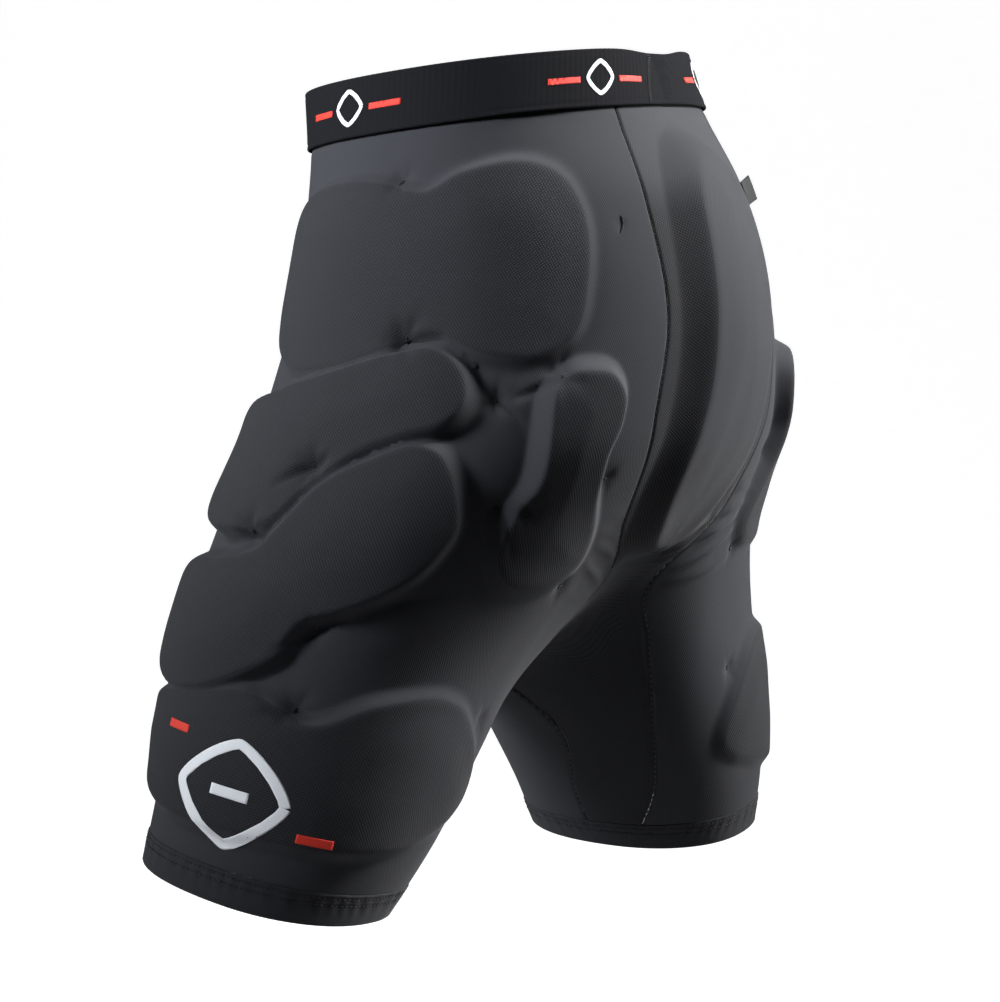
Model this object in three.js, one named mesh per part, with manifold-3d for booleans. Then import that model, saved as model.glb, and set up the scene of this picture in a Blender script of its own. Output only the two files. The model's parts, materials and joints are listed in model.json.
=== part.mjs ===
// Padded impact shorts, in millimetres. +X is the wearer's left, -Y the front and +Z up.
// The origin is the middle of the waist opening, half way up the waistband.
// "Drop" is the distance below the origin along the side of the body, and "reach" is the distance
// round the body from the side line: positive towards the back, negative towards the front.
import * as THREE from 'three';
import { mergeVertices } from 'three/addons/utils/BufferGeometryUtils.js';
import Module from 'manifold-3d';

const wasm = await Module();
wasm.setup();

// Sizes of the body form that the shorts keep.
const OUTSEAM = 436;
const HIP_HALF_WIDTH = 155;
const BELLY_DEPTH = 110;
const SEAT_DEPTH = 131;
const LEG_SPREAD = 150;
const FRONT_SEAM_REACH = 272;
const BACK_SEAM_REACH = 228;
const SQUARENESS = 0.9;
const CREASE = 24;

// Small steps that measure which way the surface faces, in radians and in millimetres.
const ANGLE_STEP = 0.012;
const DROP_STEP = 1;

// The stance: each leg turns about the hip, and the turn fades in below it.
const STEP_PIVOT_DROP = 90;
const STEP_START_DROP = 170;
const STEP_FULL_DROP = 330;
const STEP_BLEND = 70;
const LEFT_STEP_DEG = 7.2;
const RIGHT_STEP_DEG = -3.1;
const LEFT_SPLAY_DEG = 2.6;
const RIGHT_SPLAY_DEG = 2.8;
const LEFT_HIP_RISE = 5;
const RIGHT_HIP_RISE = -6;

// Cloth, bands and pads.
const CLOTH = 1.5;
const GAP = 0.3;
const BAND_HEIGHT = 32;
const BAND_THICKNESS = 1.8;
const BAND_COLUMNS = 60;
const TUCK = 6;
const TUCK_DEPTH = 0.4;
const HEM_HEIGHT = 17;
const HEM_OUTER = 0.7;
const HEM_INNER = 1.9;
const HEM_COLUMNS = 26;
const PAD_BACK = 2.3;
const PAD_EDGE_OUT = 4;
const PAD_EDGE_IN = 8;
const PAD_SPOKES = 24;
const PAD_CUT_HEIGHT = 34;
const PAD_CUT_DEPTH = 14;
const LEG_COLUMNS = 23;
const BACK_COLUMNS = 8;
const FRONT_COLUMNS = 8;
const GUSSET_SHARES = [0, 0.08, 0.2, 0.35, 0.5, 0.65, 0.8, 0.92, 1];
const CROTCH_SHARES = [0.75, 0.5, 0.25];
const CROTCH_HALF_WIDTH = 18;
const CROTCH_DIP = 8;
const CROTCH_CURVE = 40;
const TAB_LENGTH = 16;
const TAB_HEIGHT = 12;
const TAB_THICKNESS = 1;
const TAB_DROP = 62;
const TAB_FROM_SEAM = 1;
const TAB_LIFT = 0.6;

// The body form: one row for each level. Each value is a share of the size named in SCALE.
const SCALE = {
  down: OUTSEAM,
  lean: LEG_SPREAD,
  outer: HIP_HALF_WIDTH,
  inner: HIP_HALF_WIDTH,
  shift: SEAT_DEPTH,
  front: BELLY_DEPTH,
  back: SEAT_DEPTH,
  roll: 1,
  pitch: 1,
  frontSeam: FRONT_SEAM_REACH,
  backSeam: BACK_SEAM_REACH,
};
const FIELDS = Object.keys(SCALE);
const BODY_ROWS = [
  // down, lean, outer, inner, shift, front, back, roll, pitch, frontSeam, backSeam
  [-0.04, 0.00, 0.78, 0.78, 0.01, 0.89, 0.71, 0.00, 0.14, 0.48, 0.56],
  [0.04, 0.00, 0.83, 0.83, 0.03, 0.87, 0.78, 0.00, 0.14, 0.50, 0.58],
  [0.14, 0.00, 0.91, 0.91, 0.05, 0.89, 0.95, 0.00, 0.10, 0.55, 0.655],
  [0.27, 0.00, 1.00, 1.00, 0.06, 0.96, 1.055, 0.00, 0.05, 0.61, 0.74],
  [0.40, 0.15, 1.00, 0.94, 0.05, 1.00, 1.00, 0.00, 0.02, 0.69, 0.78],
  [0.51, 0.35, 0.90, 0.81, 0.02, 1.00, 0.845, 0.02, 0.00, 0.79, 0.85],
  [0.60, 0.52, 0.77, 0.68, 0.00, 0.93, 0.725, 0.01, -0.02, 0.87, 1.00],
  [0.69, 0.65, 0.66, 0.59, 0.00, 0.86, 0.635, 0.02, -0.03, 0.94, 0.93],
  [0.80, 0.78, 0.555, 0.50, 0.00, 0.80, 0.59, 0.05, -0.04, 0.99, 0.88],
  [0.91, 0.91, 0.475, 0.44, -0.02, 0.70, 0.55, 0.05, -0.06, 0.84, 0.83],
  [1.00, 1.00, 0.43, 0.385, -0.03, 0.66, 0.46, 0.03, -0.09, 0.78, 0.80],
];

// Pad outlines. "at" is the reach and drop of the middle, "half" is half of the length and height,
// and each outline point is a share of those halves, going round once.
const SIDE_PADS = {
  hip_pad: {
    at: [15, 92],
    half: [99, 50],
    lift: 10,
    outline: [
      [-1, 0.16], [-0.92, -0.48], [-0.72, -0.88], [-0.43, -1], [-0.15, -0.94], [0.09, -0.8],
      [0.29, -0.96], [0.58, -1.02], [0.82, -0.84], [0.97, -0.4], [1, 0.16], [0.96, 0.68],
      [0.76, 0.88], [0.49, 0.84], [0.23, 0.64], [-0.03, 0.78], [-0.31, 0.96], [-0.6, 1],
      [-0.84, 0.8], [-0.97, 0.48],
    ],
  },
  upper_thigh_pad: {
    at: [-26, 184],
    half: [86, 52],
    lift: 12,
    outline: [
      [-1, 0.4], [-0.92, -0.12], [-0.68, -0.4], [-0.37, -0.54], [0.02, -0.71], [0.42, -0.9],
      [0.72, -1], [0.93, -0.81], [1, -0.52], [0.91, -0.29], [0.72, -0.19], [0.47, -0.02],
      [0.28, 0.23], [0.14, 0.5], [0.02, 0.79], [-0.21, 0.98], [-0.49, 1], [-0.8, 0.85],
    ],
  },
  mid_thigh_pad: {
    at: [-15, 259],
    half: [87, 78],
    lift: 11,
    outline: [
      [-1, 0.52], [-0.93, 0.17], [-0.7, -0.02], [-0.44, -0.06], [-0.16, -0.18], [-0.03, -0.41],
      [0.14, -0.72], [0.36, -0.88], [0.61, -1], [0.79, -0.95], [0.91, -0.73], [0.99, -0.47],
      [0.94, -0.29], [0.86, -0.15], [0.75, -0.03], [0.56, 0.12], [0.4, 0.21], [0.31, 0.32],
      [0.28, 0.45], [0.23, 0.58], [0.06, 0.74], [-0.17, 0.91], [-0.44, 0.99], [-0.7, 0.94],
      [-0.92, 0.78],
    ],
  },
  lower_thigh_pad: {
    at: [26, 358],
    half: [127, 42],
    lift: 8.5,
    outline: [
      [-1, 0.17], [-0.89, -0.24], [-0.7, -0.42], [-0.52, -0.5], [-0.27, -0.74], [-0.09, -0.64],
      [0.02, -0.5], [0.13, -0.6], [0.27, -0.86], [0.46, -1.02], [0.61, -1.02], [0.75, -0.86],
      [0.86, -0.55], [0.95, -0.19], [1, 0.26], [0.91, 0.5], [0.8, 0.62], [0.61, 0.79],
      [0.28, 0.93], [-0.12, 0.98], [-0.34, 1], [-0.54, 0.98], [-0.72, 0.88], [-0.9, 0.64],
    ],
  },
  buttock_pad: {
    at: [131, 198],
    half: [34, 55],
    lift: 10,
    outline: [
      [-0.26, -0.98], [0.06, -0.93], [0.32, -0.75], [0.36, -0.51], [0.26, -0.22], [0.44, 0.16],
      [0.82, 0.51], [0.97, 0.78], [0.62, 0.95], [-0.03, 1], [-0.53, 0.95], [-0.88, 0.75],
      [-0.94, 0.56], [-0.86, 0.29], [-0.72, 0], [-0.76, -0.42], [-0.79, -0.78], [-0.6, -0.95],
    ],
  },
};
const TAILBONE_PAD = {
  at: [4, 142],
  half: [38, 97],
  lift: 10,
  outline: [
    [0, -1], [0.4, -0.95], [0.66, -0.8], [0.78, -0.54], [0.85, -0.23], [0.92, 0.08], [1, 0.34],
    [1, 0.55], [0.8, 0.76], [0.48, 0.92], [0, 1], [-0.48, 0.92], [-0.8, 0.76], [-1, 0.55],
    [-1, 0.34], [-0.92, 0.08], [-0.85, -0.23], [-0.78, -0.54], [-0.66, -0.8], [-0.4, -0.95],
  ],
};

// Guide lines across a leg panel: pairs of share across (front seam 0, back seam 1) and share of
// the outseam. The grid's rows run through them, so the valleys between the pads stay sharp.
const TOP_LINE = levelLine((BAND_HEIGHT / 2 - TUCK) / OUTSEAM);
const UNDER_BAND_LINE = levelLine(0.087);
const HIP_VALLEY = [
  [0, 0.35], [0.33, 0.346], [0.44, 0.33], [0.53, 0.31], [0.61, 0.296], [0.68, 0.319], [1, 0.324],
];
const THIGH_VALLEY = [
  [0, 0.573], [0.35, 0.564], [0.41, 0.557], [0.45, 0.534], [0.48, 0.49], [0.515, 0.456],
  [0.56, 0.429], [0.61, 0.408], [0.665, 0.406], [0.75, 0.427], [1, 0.46],
];
const CROTCH_LINE = [[0, 0.601], [0.35, 0.654], [0.6, 0.601], [1, 0.573]];
const KNEE_VALLEY = [
  [0, 0.79], [0.43, 0.784], [0.48, 0.768], [0.536, 0.736], [0.587, 0.745], [0.62, 0.759],
  [0.664, 0.739], [0.736, 0.711], [0.78, 0.713], [0.823, 0.734], [1, 0.757],
];
const ABOVE_HEM_LINE = levelLine(0.928);
const HEM_LINE = levelLine((OUTSEAM - HEM_HEIGHT) / OUTSEAM);
const SPANS = [
  { from: TOP_LINE, to: UNDER_BAND_LINE, shares: [0, 0.5] },
  { from: UNDER_BAND_LINE, to: HIP_VALLEY, shares: [0, 0.12, 0.37, 0.63, 0.88] },
  { from: HIP_VALLEY, to: THIGH_VALLEY, shares: [0, 0.17, 0.5, 0.83] },
  { from: THIGH_VALLEY, to: CROTCH_LINE, shares: [0, 0.2, 0.6] },
  { from: CROTCH_LINE, to: KNEE_VALLEY, shares: [0, 0.3, 0.6, 0.88] },
  { from: KNEE_VALLEY, to: ABOVE_HEM_LINE, shares: [0, 0.15, 0.5, 0.85] },
  { from: ABOVE_HEM_LINE, to: HEM_LINE, shares: [0, 1] },
];
const CROTCH_ROW = 14;

// Colour, roughness and metalness of each material.
const FINISHES = {
  leg_knit: { color: 0x2b2c30, roughness: 0.85 },
  centre_knit: { color: 0x303135, roughness: 0.85 },
  gusset_knit: { color: 0x242529, roughness: 0.88 },
  hem_knit: { color: 0x1f2023, roughness: 0.88 },
  waist_elastic: { color: 0x1b1c1f, roughness: 0.8 },
  pad_foam: { color: 0x17181a, roughness: 0.95 },
  tab_weave: { color: 0x101012, roughness: 0.7 },
};

function ease(value) {
  const t = Math.min(1, Math.max(0, value));
  return t * t * (3 - 2 * t);
}

function mix(a, b, t) {
  return a + (b - a) * t;
}

function levelLine(share) {
  return [[0, share], [1, share]];
}

function alongPairs(pairs, share) {
  let k = 0;
  while (k < pairs.length - 2 && pairs[k + 1][0] < share) k += 1;
  const [x0, y0] = pairs[k];
  const [x1, y1] = pairs[k + 1];
  return mix(y0, y1, Math.min(1, Math.max(0, (share - x0) / (x1 - x0))));
}

// The body row at any drop, by a smooth curve through the rows of the table.
function bodyRow(drop) {
  const down = drop / OUTSEAM;
  const rows = BODY_ROWS;
  let k = 0;
  while (k < rows.length - 2 && rows[k + 1][0] <= down) k += 1;
  const span = rows[k + 1][0] - rows[k][0];
  const t = (down - rows[k][0]) / span;
  const row = {};
  FIELDS.forEach((field, f) => {
    const slope = (i) => {
      const low = Math.max(0, i - 1);
      const high = Math.min(rows.length - 1, i + 1);
      return (rows[high][f] - rows[low][f]) / (rows[high][0] - rows[low][0]);
    };
    const a = rows[k][f];
    const b = rows[k + 1][f];
    const rise = b - a;
    const m0 = slope(k) * span;
    const m1 = slope(k + 1) * span;
    const value = a + t * m0 + t * t * (3 * rise - 2 * m0 - m1) + t * t * t * (m0 + m1 - 2 * rise);
    row[field] = value * SCALE[field];
  });
  return row;
}

// One point of the half body: angle 0 is the side, 90 degrees the back and 180 the inner thigh.
function ringPoint(row, angle) {
  const c = Math.cos(angle);
  const s = Math.sin(angle);
  const x = (c >= 0 ? row.outer : row.inner) * Math.sign(c) * Math.abs(c) ** SQUARENESS;
  const y = (s >= 0 ? row.back : row.front) * Math.sign(s) * Math.abs(s) ** SQUARENESS;
  return [row.lean + x, row.shift + y, -row.down + row.roll * x + row.pitch * y];
}

// Pulls the half body onto the centre plane, so the two halves join in a round crease.
function toCentre(x) {
  if (x >= CREASE) return x;
  const square = 2 * CREASE * x - CREASE * CREASE;
  return Math.sign(square) * Math.sqrt(Math.abs(square));
}

function bodyPoint(drop, angle) {
  const [x, y, z] = ringPoint(bodyRow(drop), angle);
  return new THREE.Vector3(toCentre(x), y, z);
}

function bodyNormal(drop, angle) {
  const round = bodyPoint(drop, angle + ANGLE_STEP).sub(bodyPoint(drop, angle - ANGLE_STEP));
  const down = bodyPoint(drop + DROP_STEP, angle).sub(bodyPoint(drop - DROP_STEP, angle));
  return down.cross(round).normalize();
}

// Distance round the body from the side line, for every level that is asked for.
const RING_STEPS = 240;
const levels = new Map();
function reachTable(drop) {
  const key = Math.round(drop * 10);
  if (!levels.has(key)) {
    const row = bodyRow(key / 10);
    const reach = [0];
    let last = new THREE.Vector3(...ringPoint(row, -Math.PI));
    for (let i = 1; i <= RING_STEPS; i += 1) {
      const next = new THREE.Vector3(...ringPoint(row, -Math.PI + (2 * Math.PI * i) / RING_STEPS));
      reach.push(reach[i - 1] + next.distanceTo(last));
      last = next;
    }
    const middle = reach[RING_STEPS / 2];
    levels.set(key, reach.map((value) => value - middle));
  }
  return levels.get(key);
}

function girth(drop) {
  const table = reachTable(drop);
  return table[RING_STEPS] - table[0];
}

function reachAt(drop, angle) {
  const table = reachTable(drop);
  const turns = Math.floor((angle + Math.PI) / (2 * Math.PI));
  const place = ((angle + Math.PI - turns * 2 * Math.PI) / (2 * Math.PI)) * RING_STEPS;
  const i = Math.min(RING_STEPS - 1, Math.floor(place));
  return mix(table[i], table[i + 1], place - i) + turns * girth(drop);
}

function angleAt(drop, reach) {
  const table = reachTable(drop);
  const full = girth(drop);
  const turns = Math.floor((reach - table[0]) / full);
  const rest = reach - turns * full;
  let low = 0;
  let high = RING_STEPS;
  while (high - low > 1) {
    const middle = (low + high) >> 1;
    if (table[middle] <= rest) low = middle;
    else high = middle;
  }
  const t = (rest - table[low]) / (table[high] - table[low]);
  return -Math.PI + ((low + t) / RING_STEPS + turns) * 2 * Math.PI;
}

// Smooth closed outlines of the pads, in millimetres of reach and drop.
function outlinePoints(pad, steps) {
  const points = pad.outline.map(([u, w]) => {
    return new THREE.Vector3(pad.at[0] + u * pad.half[0], pad.at[1] + w * pad.half[1], 0);
  });
  const curve = new THREE.CatmullRomCurve3(points, true, 'centripetal');
  return Array.from({ length: steps }, (_, i) => {
    const point = curve.getPoint(i / steps);
    return [point.x, point.y];
  });
}

// Distance inside an outline: positive inside and negative outside.
function depthInside(outline, x, y) {
  let nearest = Infinity;
  let inside = false;
  for (let i = 0, j = outline.length - 1; i < outline.length; j = i, i += 1) {
    const [x0, y0] = outline[j];
    const [x1, y1] = outline[i];
    const dx = x1 - x0;
    const dy = y1 - y0;
    const t = Math.min(1, Math.max(0, ((x - x0) * dx + (y - y0) * dy) / (dx * dx + dy * dy)));
    nearest = Math.min(nearest, Math.hypot(x - x0 - t * dx, y - y0 - t * dy));
    if (y0 > y !== y1 > y && x < x0 + ((y - y0) / dy) * dx) inside = !inside;
  }
  return inside ? nearest : -nearest;
}

const sideOutlines = Object.values(SIDE_PADS).map((pad) => ({
  lift: pad.lift,
  outline: outlinePoints(pad, 72),
}));
const tailboneOutline = outlinePoints(TAILBONE_PAD, 72);

function padLift(depth, lift) {
  return lift * ease((depth + PAD_EDGE_OUT) / (PAD_EDGE_OUT + PAD_EDGE_IN));
}

// How far the cloth stands out from the body over the pads.
function clothLift(side, drop, angle, x) {
  const reach = reachAt(drop, angle);
  let lift = 0;
  if (Math.abs(reach) < FRONT_SEAM_REACH) {
    sideOutlines.forEach((pad) => {
      lift = Math.max(lift, padLift(depthInside(pad.outline, reach, drop), pad.lift));
    });
  }
  if (Math.sin(angle) > 0 && drop < STEP_FULL_DROP) {
    const depth = depthInside(tailboneOutline, side * x, drop);
    lift = Math.max(lift, padLift(depth, TAILBONE_PAD.lift));
  }
  return lift;
}

// Turns a point of the straight body into the stance of the photo.
function stand(point) {
  const side = ease(0.5 + point.x / (2 * STEP_BLEND));
  const fade = ease((-STEP_START_DROP - point.z) / (STEP_FULL_DROP - STEP_START_DROP));
  const step = THREE.MathUtils.degToRad(mix(RIGHT_STEP_DEG, LEFT_STEP_DEG, side)) * fade;
  const splay = THREE.MathUtils.degToRad(mix(-RIGHT_SPLAY_DEG, LEFT_SPLAY_DEG, side)) * fade;
  const rise = mix(RIGHT_HIP_RISE, LEFT_HIP_RISE, side) * fade;
  const z = point.z + STEP_PIVOT_DROP;
  const y = point.y * Math.cos(step) + z * Math.sin(step);
  const deep = z * Math.cos(step) - point.y * Math.sin(step);
  const x = point.x * Math.cos(splay) - deep * Math.sin(splay);
  const low = point.x * Math.sin(splay) + deep * Math.cos(splay);
  return new THREE.Vector3(x, y, low - STEP_PIVOT_DROP + rise);
}

function placed(side, drop, angle, lifted) {
  const point = bodyPoint(drop, angle);
  if (lifted) {
    const lift = clothLift(side, drop, angle, point.x);
    if (lift > 0) point.addScaledVector(bodyNormal(drop, angle), lift);
  }
  point.x *= side;
  return stand(point);
}

// A point of the surface and its outward normal, on the cloth or on the body under it.
function frameAt(side, drop, angle, lifted = true) {
  const point = placed(side, drop, angle, lifted);
  const back = placed(side, drop, angle + ANGLE_STEP, lifted);
  const front = placed(side, drop, angle - ANGLE_STEP, lifted);
  const lower = placed(side, drop + DROP_STEP, angle, lifted);
  const upper = placed(side, drop - DROP_STEP, angle, lifted);
  const round = back.sub(front);
  const down = lower.sub(upper);
  const normal = down.cross(round).multiplyScalar(side).normalize();
  return { point, normal };
}

function offsetPoint(frame, distance) {
  return frame.point.clone().addScaledVector(frame.normal, distance);
}

// Builds a closed body between two grids of points. A ring is closed in the column direction.
// The guide grid sets which way each cell is split, so bodies from one grid have matching facets.
function solidBetween(outer, inner, ring = false, guide = outer) {
  const rows = outer.length;
  const columns = outer[0].length;
  const positions = [];
  const faces = [];
  [outer, inner].forEach((grid) => {
    grid.forEach((line) => line.forEach((point) => positions.push(point.x, point.y, point.z)));
  });
  const at = (layer, i, j) => layer * rows * columns + i * columns + (j % columns);
  const quad = (a, b, c, d) => faces.push(a, b, c, a, c, d);
  const lastColumn = ring ? columns : columns - 1;
  for (let i = 0; i < rows - 1; i += 1) {
    for (let j = 0; j < lastColumn; j += 1) {
      const k = (j + 1) % columns;
      const first = guide[i][j].distanceTo(guide[i + 1][k]);
      const second = guide[i + 1][j].distanceTo(guide[i][k]);
      if (first <= second) {
        quad(at(0, i, j), at(0, i + 1, j), at(0, i + 1, k), at(0, i, k));
        quad(at(1, i, j), at(1, i, k), at(1, i + 1, k), at(1, i + 1, j));
      } else {
        quad(at(0, i + 1, j), at(0, i + 1, k), at(0, i, k), at(0, i, j));
        faces.push(at(1, i + 1, j), at(1, i, k), at(1, i + 1, k));
        faces.push(at(1, i + 1, j), at(1, i, j), at(1, i, k));
      }
    }
  }
  for (let j = 0; j < lastColumn; j += 1) {
    quad(at(0, 0, j), at(0, 0, j + 1), at(1, 0, j + 1), at(1, 0, j));
    quad(at(0, rows - 1, j), at(1, rows - 1, j), at(1, rows - 1, j + 1), at(0, rows - 1, j + 1));
  }
  if (!ring) {
    for (let i = 0; i < rows - 1; i += 1) {
      const k = columns - 1;
      quad(at(0, i, 0), at(1, i, 0), at(1, i + 1, 0), at(0, i + 1, 0));
      quad(at(0, i, k), at(0, i + 1, k), at(1, i + 1, k), at(1, i, k));
    }
  }
  return faceOut(positions, faces);
}

// Turns every face outward by the sign of the enclosed volume.
function faceOut(positions, faces) {
  let volume = 0;
  for (let f = 0; f < faces.length; f += 3) {
    const [a, b, c] = [0, 1, 2].map((k) => new THREE.Vector3().fromArray(positions, faces[f + k] * 3));
    volume += a.dot(b.cross(c));
  }
  if (volume < 0) {
    for (let f = 0; f < faces.length; f += 3) {
      [faces[f + 1], faces[f + 2]] = [faces[f + 2], faces[f + 1]];
    }
  }
  const geometry = new THREE.BufferGeometry();
  geometry.setAttribute('position', new THREE.Float32BufferAttribute(positions, 3));
  geometry.setIndex(faces);
  return geometry;
}

function asSolid(geometry) {
  const bare = geometry.clone();
  bare.deleteAttribute('normal');
  bare.deleteAttribute('uv');
  const merged = mergeVertices(bare, 1e-4);
  const vertProperties = new Float32Array(merged.attributes.position.array);
  const triVerts = new Uint32Array(merged.index.array);
  return new wasm.Manifold(new wasm.Mesh({ numProp: 3, vertProperties, triVerts }));
}

function asGeometry(solid) {
  const mesh = solid.getMesh();
  const geometry = new THREE.BufferGeometry();
  geometry.setAttribute('position', new THREE.Float32BufferAttribute(mesh.vertProperties, 3));
  geometry.setIndex(new THREE.Uint32BufferAttribute(mesh.triVerts, 1));
  return geometry;
}

const group = new THREE.Group();
group.name = 'padded_impact_shorts';

function addPiece(name, geometry, finish) {
  const settings = FINISHES[finish];
  const material = new THREE.MeshStandardMaterial({ ...settings, metalness: 0 });
  material.name = finish;
  geometry.computeVertexNormals();
  const mesh = new THREE.Mesh(geometry, material);
  mesh.name = name;
  group.add(mesh);
}

function layer(grid, distance) {
  return grid.map((line) => line.map((frame) => offsetPoint(frame, distance + (frame.shift || 0))));
}

// Drops of the rows of a leg panel, at a share across from the front seam to the back seam.
function rowDrops(across) {
  const drops = [];
  SPANS.forEach(({ from, to, shares }) => {
    const high = alongPairs(from, across) * OUTSEAM;
    const low = alongPairs(to, across) * OUTSEAM;
    shares.forEach((share) => drops.push(mix(high, low, share)));
  });
  drops[drops.length - 1] -= GAP / 2;
  return drops;
}

function tucked(frame, drop) {
  return { ...frame, shift: drop < BAND_HEIGHT / 2 ? -TUCK_DEPTH : 0 };
}

const columnShares = Array.from({ length: LEG_COLUMNS + 1 }, (_, j) => j / LEG_COLUMNS);
const columnDrops = columnShares.map(rowDrops);
const ROW_COUNT = columnDrops[0].length;

function legFrames(side, lifted) {
  const grid = [];
  for (let i = 0; i < ROW_COUNT; i += 1) {
    grid.push(columnShares.map((across, j) => {
      const drop = columnDrops[j][i];
      const row = bodyRow(drop);
      const reach = mix(GAP / 2 - row.frontSeam, row.backSeam - GAP / 2, across);
      return { ...tucked(frameAt(side, drop, angleAt(drop, reach), lifted), drop), reach, drop };
    }));
  }
  return grid;
}

const legs = { left: 1, right: -1 };
const legGrids = {};
Object.entries(legs).forEach(([name, side]) => {
  const grid = legFrames(side, true);
  legGrids[name] = grid;
  addPiece(`${name}_leg_panel`, solidBetween(layer(grid, 0), layer(grid, -CLOTH)), 'leg_knit');
});

// Centre panels: columns are shares of the distance from the centre plane to the seam.
function angleAtX(drop, x, back) {
  const row = bodyRow(drop);
  const flat = x >= CREASE ? x : (x * x + CREASE * CREASE) / (2 * CREASE);
  const share = (flat - row.lean) / (flat >= row.lean ? row.outer : row.inner);
  const c = Math.sign(share) * Math.min(1, Math.abs(share)) ** (1 / SQUARENESS);
  return (back ? 1 : -1) * Math.acos(c);
}

function seamAngle(drop, back, inset) {
  const row = bodyRow(drop);
  return angleAt(drop, back ? row.backSeam + inset : -row.frontSeam - inset);
}

function centreFrames(back, columns, lifted) {
  const drops = columnDrops[back ? LEG_COLUMNS : 0].slice(0, CROTCH_ROW + 1);
  drops[CROTCH_ROW] -= GAP / 2;
  return drops.map((drop) => {
    const edge = bodyPoint(drop, seamAngle(drop, back, GAP / 2)).x;
    return Array.from({ length: columns + 1 }, (_, j) => {
      const x = mix(-edge, edge, j / columns);
      const frame = frameAt(x < 0 ? -1 : 1, drop, angleAtX(drop, Math.abs(x), back), lifted);
      return tucked(frame, drop);
    });
  });
}

const backGrid = centreFrames(true, BACK_COLUMNS, true);
addPiece('back_centre_panel', solidBetween(layer(backGrid, 0), layer(backGrid, -CLOTH)), 'centre_knit');
const frontGrid = centreFrames(false, FRONT_COLUMNS, true);
addPiece('front_centre_panel', solidBetween(layer(frontGrid, 0), layer(frontGrid, -CLOTH)), 'centre_knit');

// The gusset runs from the left hem, up the inner thigh, over the crotch and down to the right hem.
// Its columns go from the back seam to the front seam through the inner thigh.
function gussetAngle(drop, across) {
  return mix(seamAngle(drop, true, GAP / 2), seamAngle(drop, false, GAP / 2) + 2 * Math.PI, across);
}

// The drop where a column of the gusset reaches a given distance out from the centre plane.
function dropAtX(angleOf, target) {
  let high = 0.5 * OUTSEAM;
  let low = 0.9 * OUTSEAM;
  for (let i = 0; i < 40; i += 1) {
    const middle = (high + low) / 2;
    if (bodyPoint(middle, angleOf(middle)).x > target) low = middle;
    else high = middle;
  }
  return (high + low) / 2;
}

// A place between the centre plane and a column's first row, by its share of that row's distance.
function crotchPlace(middle, first, share) {
  const target = share * bodyPoint(...first).x;
  let low = 0;
  let high = 1;
  for (let i = 0; i < 30; i += 1) {
    const t = (low + high) / 2;
    const x = bodyPoint(mix(middle[0], first[0], t), mix(middle[1], first[1], t)).x;
    if (x < target) low = t;
    else high = t;
  }
  return [mix(middle[0], first[0], low), mix(middle[1], first[1], low)];
}

const backDrops = columnDrops[LEG_COLUMNS].slice(CROTCH_ROW);
const frontDrops = columnDrops[0].slice(CROTCH_ROW);
const backTip = backDrops[0] + GAP / 2;
const frontTip = frontDrops[0] + GAP / 2;
const hemDrop = backDrops[backDrops.length - 1];
const crotchBottom = dropAtX(() => Math.PI, 0);

// First rows of the gusset on the leg and on the centre plane, at a share across.
function gussetStart(across) {
  if (across === 0) {
    return { first: backTip, middle: backTip, angle: angleAtX(backTip, 0, true) };
  }
  if (across === 1) {
    const angle = 2 * Math.PI + angleAtX(frontTip, 0, false);
    return { first: frontTip, middle: frontTip, angle };
  }
  const fromEnd = 1 - Math.abs(1 - 2 * across);
  const backX = bodyPoint(backTip, seamAngle(backTip, true, 0)).x;
  const frontX = bodyPoint(frontTip, seamAngle(frontTip, false, 0)).x;
  const target = mix(mix(backX, frontX, across), CROTCH_HALF_WIDTH, fromEnd);
  const first = dropAtX((drop) => gussetAngle(drop, across), target);
  if (across === 0.5) return { first, middle: crotchBottom, angle: Math.PI };
  const highest = crotchBottom - CROTCH_CURVE * (1 - fromEnd) ** 2;
  const middle = Math.min(highest, first - CROTCH_DIP * fromEnd);
  const angle = angleAtX(middle, 0, across < 0.5);
  return { first, middle, angle: across < 0.5 ? angle : angle + 2 * Math.PI };
}

const gussetColumns = GUSSET_SHARES.map((across) => {
  const { first, middle, angle } = gussetStart(across);
  const places = backDrops.map((_, k) => {
    const backShare = (backDrops[k] - backDrops[0]) / (hemDrop - backDrops[0]);
    const frontShare = (frontDrops[k] - frontDrops[0]) / (hemDrop - frontDrops[0]);
    const drop = mix(first, hemDrop, mix(backShare, frontShare, across));
    return [drop, gussetAngle(drop, across)];
  });
  const start = places[0];
  CROTCH_SHARES.forEach((share) => places.unshift(crotchPlace([middle, angle], start, share)));
  const left = places.map(([drop, turn]) => frameAt(1, drop, turn));
  const right = places.map(([drop, turn]) => frameAt(-1, drop, turn));
  return [...left.reverse(), frameAt(1, middle, angle), ...right];
});
const gussetGrid = gussetColumns[0].map((_, i) => gussetColumns.map((column) => column[i]));
addPiece('crotch_gusset', solidBetween(layer(gussetGrid, 0), layer(gussetGrid, -CLOTH)), 'gusset_knit');

// Hems: a thicker ring round the bottom of each leg.
Object.entries(legs).forEach(([name, side]) => {
  const drops = [HEM_LINE[0][1] * OUTSEAM + GAP / 2, OUTSEAM];
  const grid = drops.map((drop) => Array.from({ length: HEM_COLUMNS }, (_, j) => {
    const reach = (j / HEM_COLUMNS - 0.5) * girth(drop);
    return frameAt(side, drop, angleAt(drop, reach), false);
  }));
  addPiece(`${name}_hem`, solidBetween(layer(grid, HEM_OUTER), layer(grid, -HEM_INNER), true), 'hem_knit');
});

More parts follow.
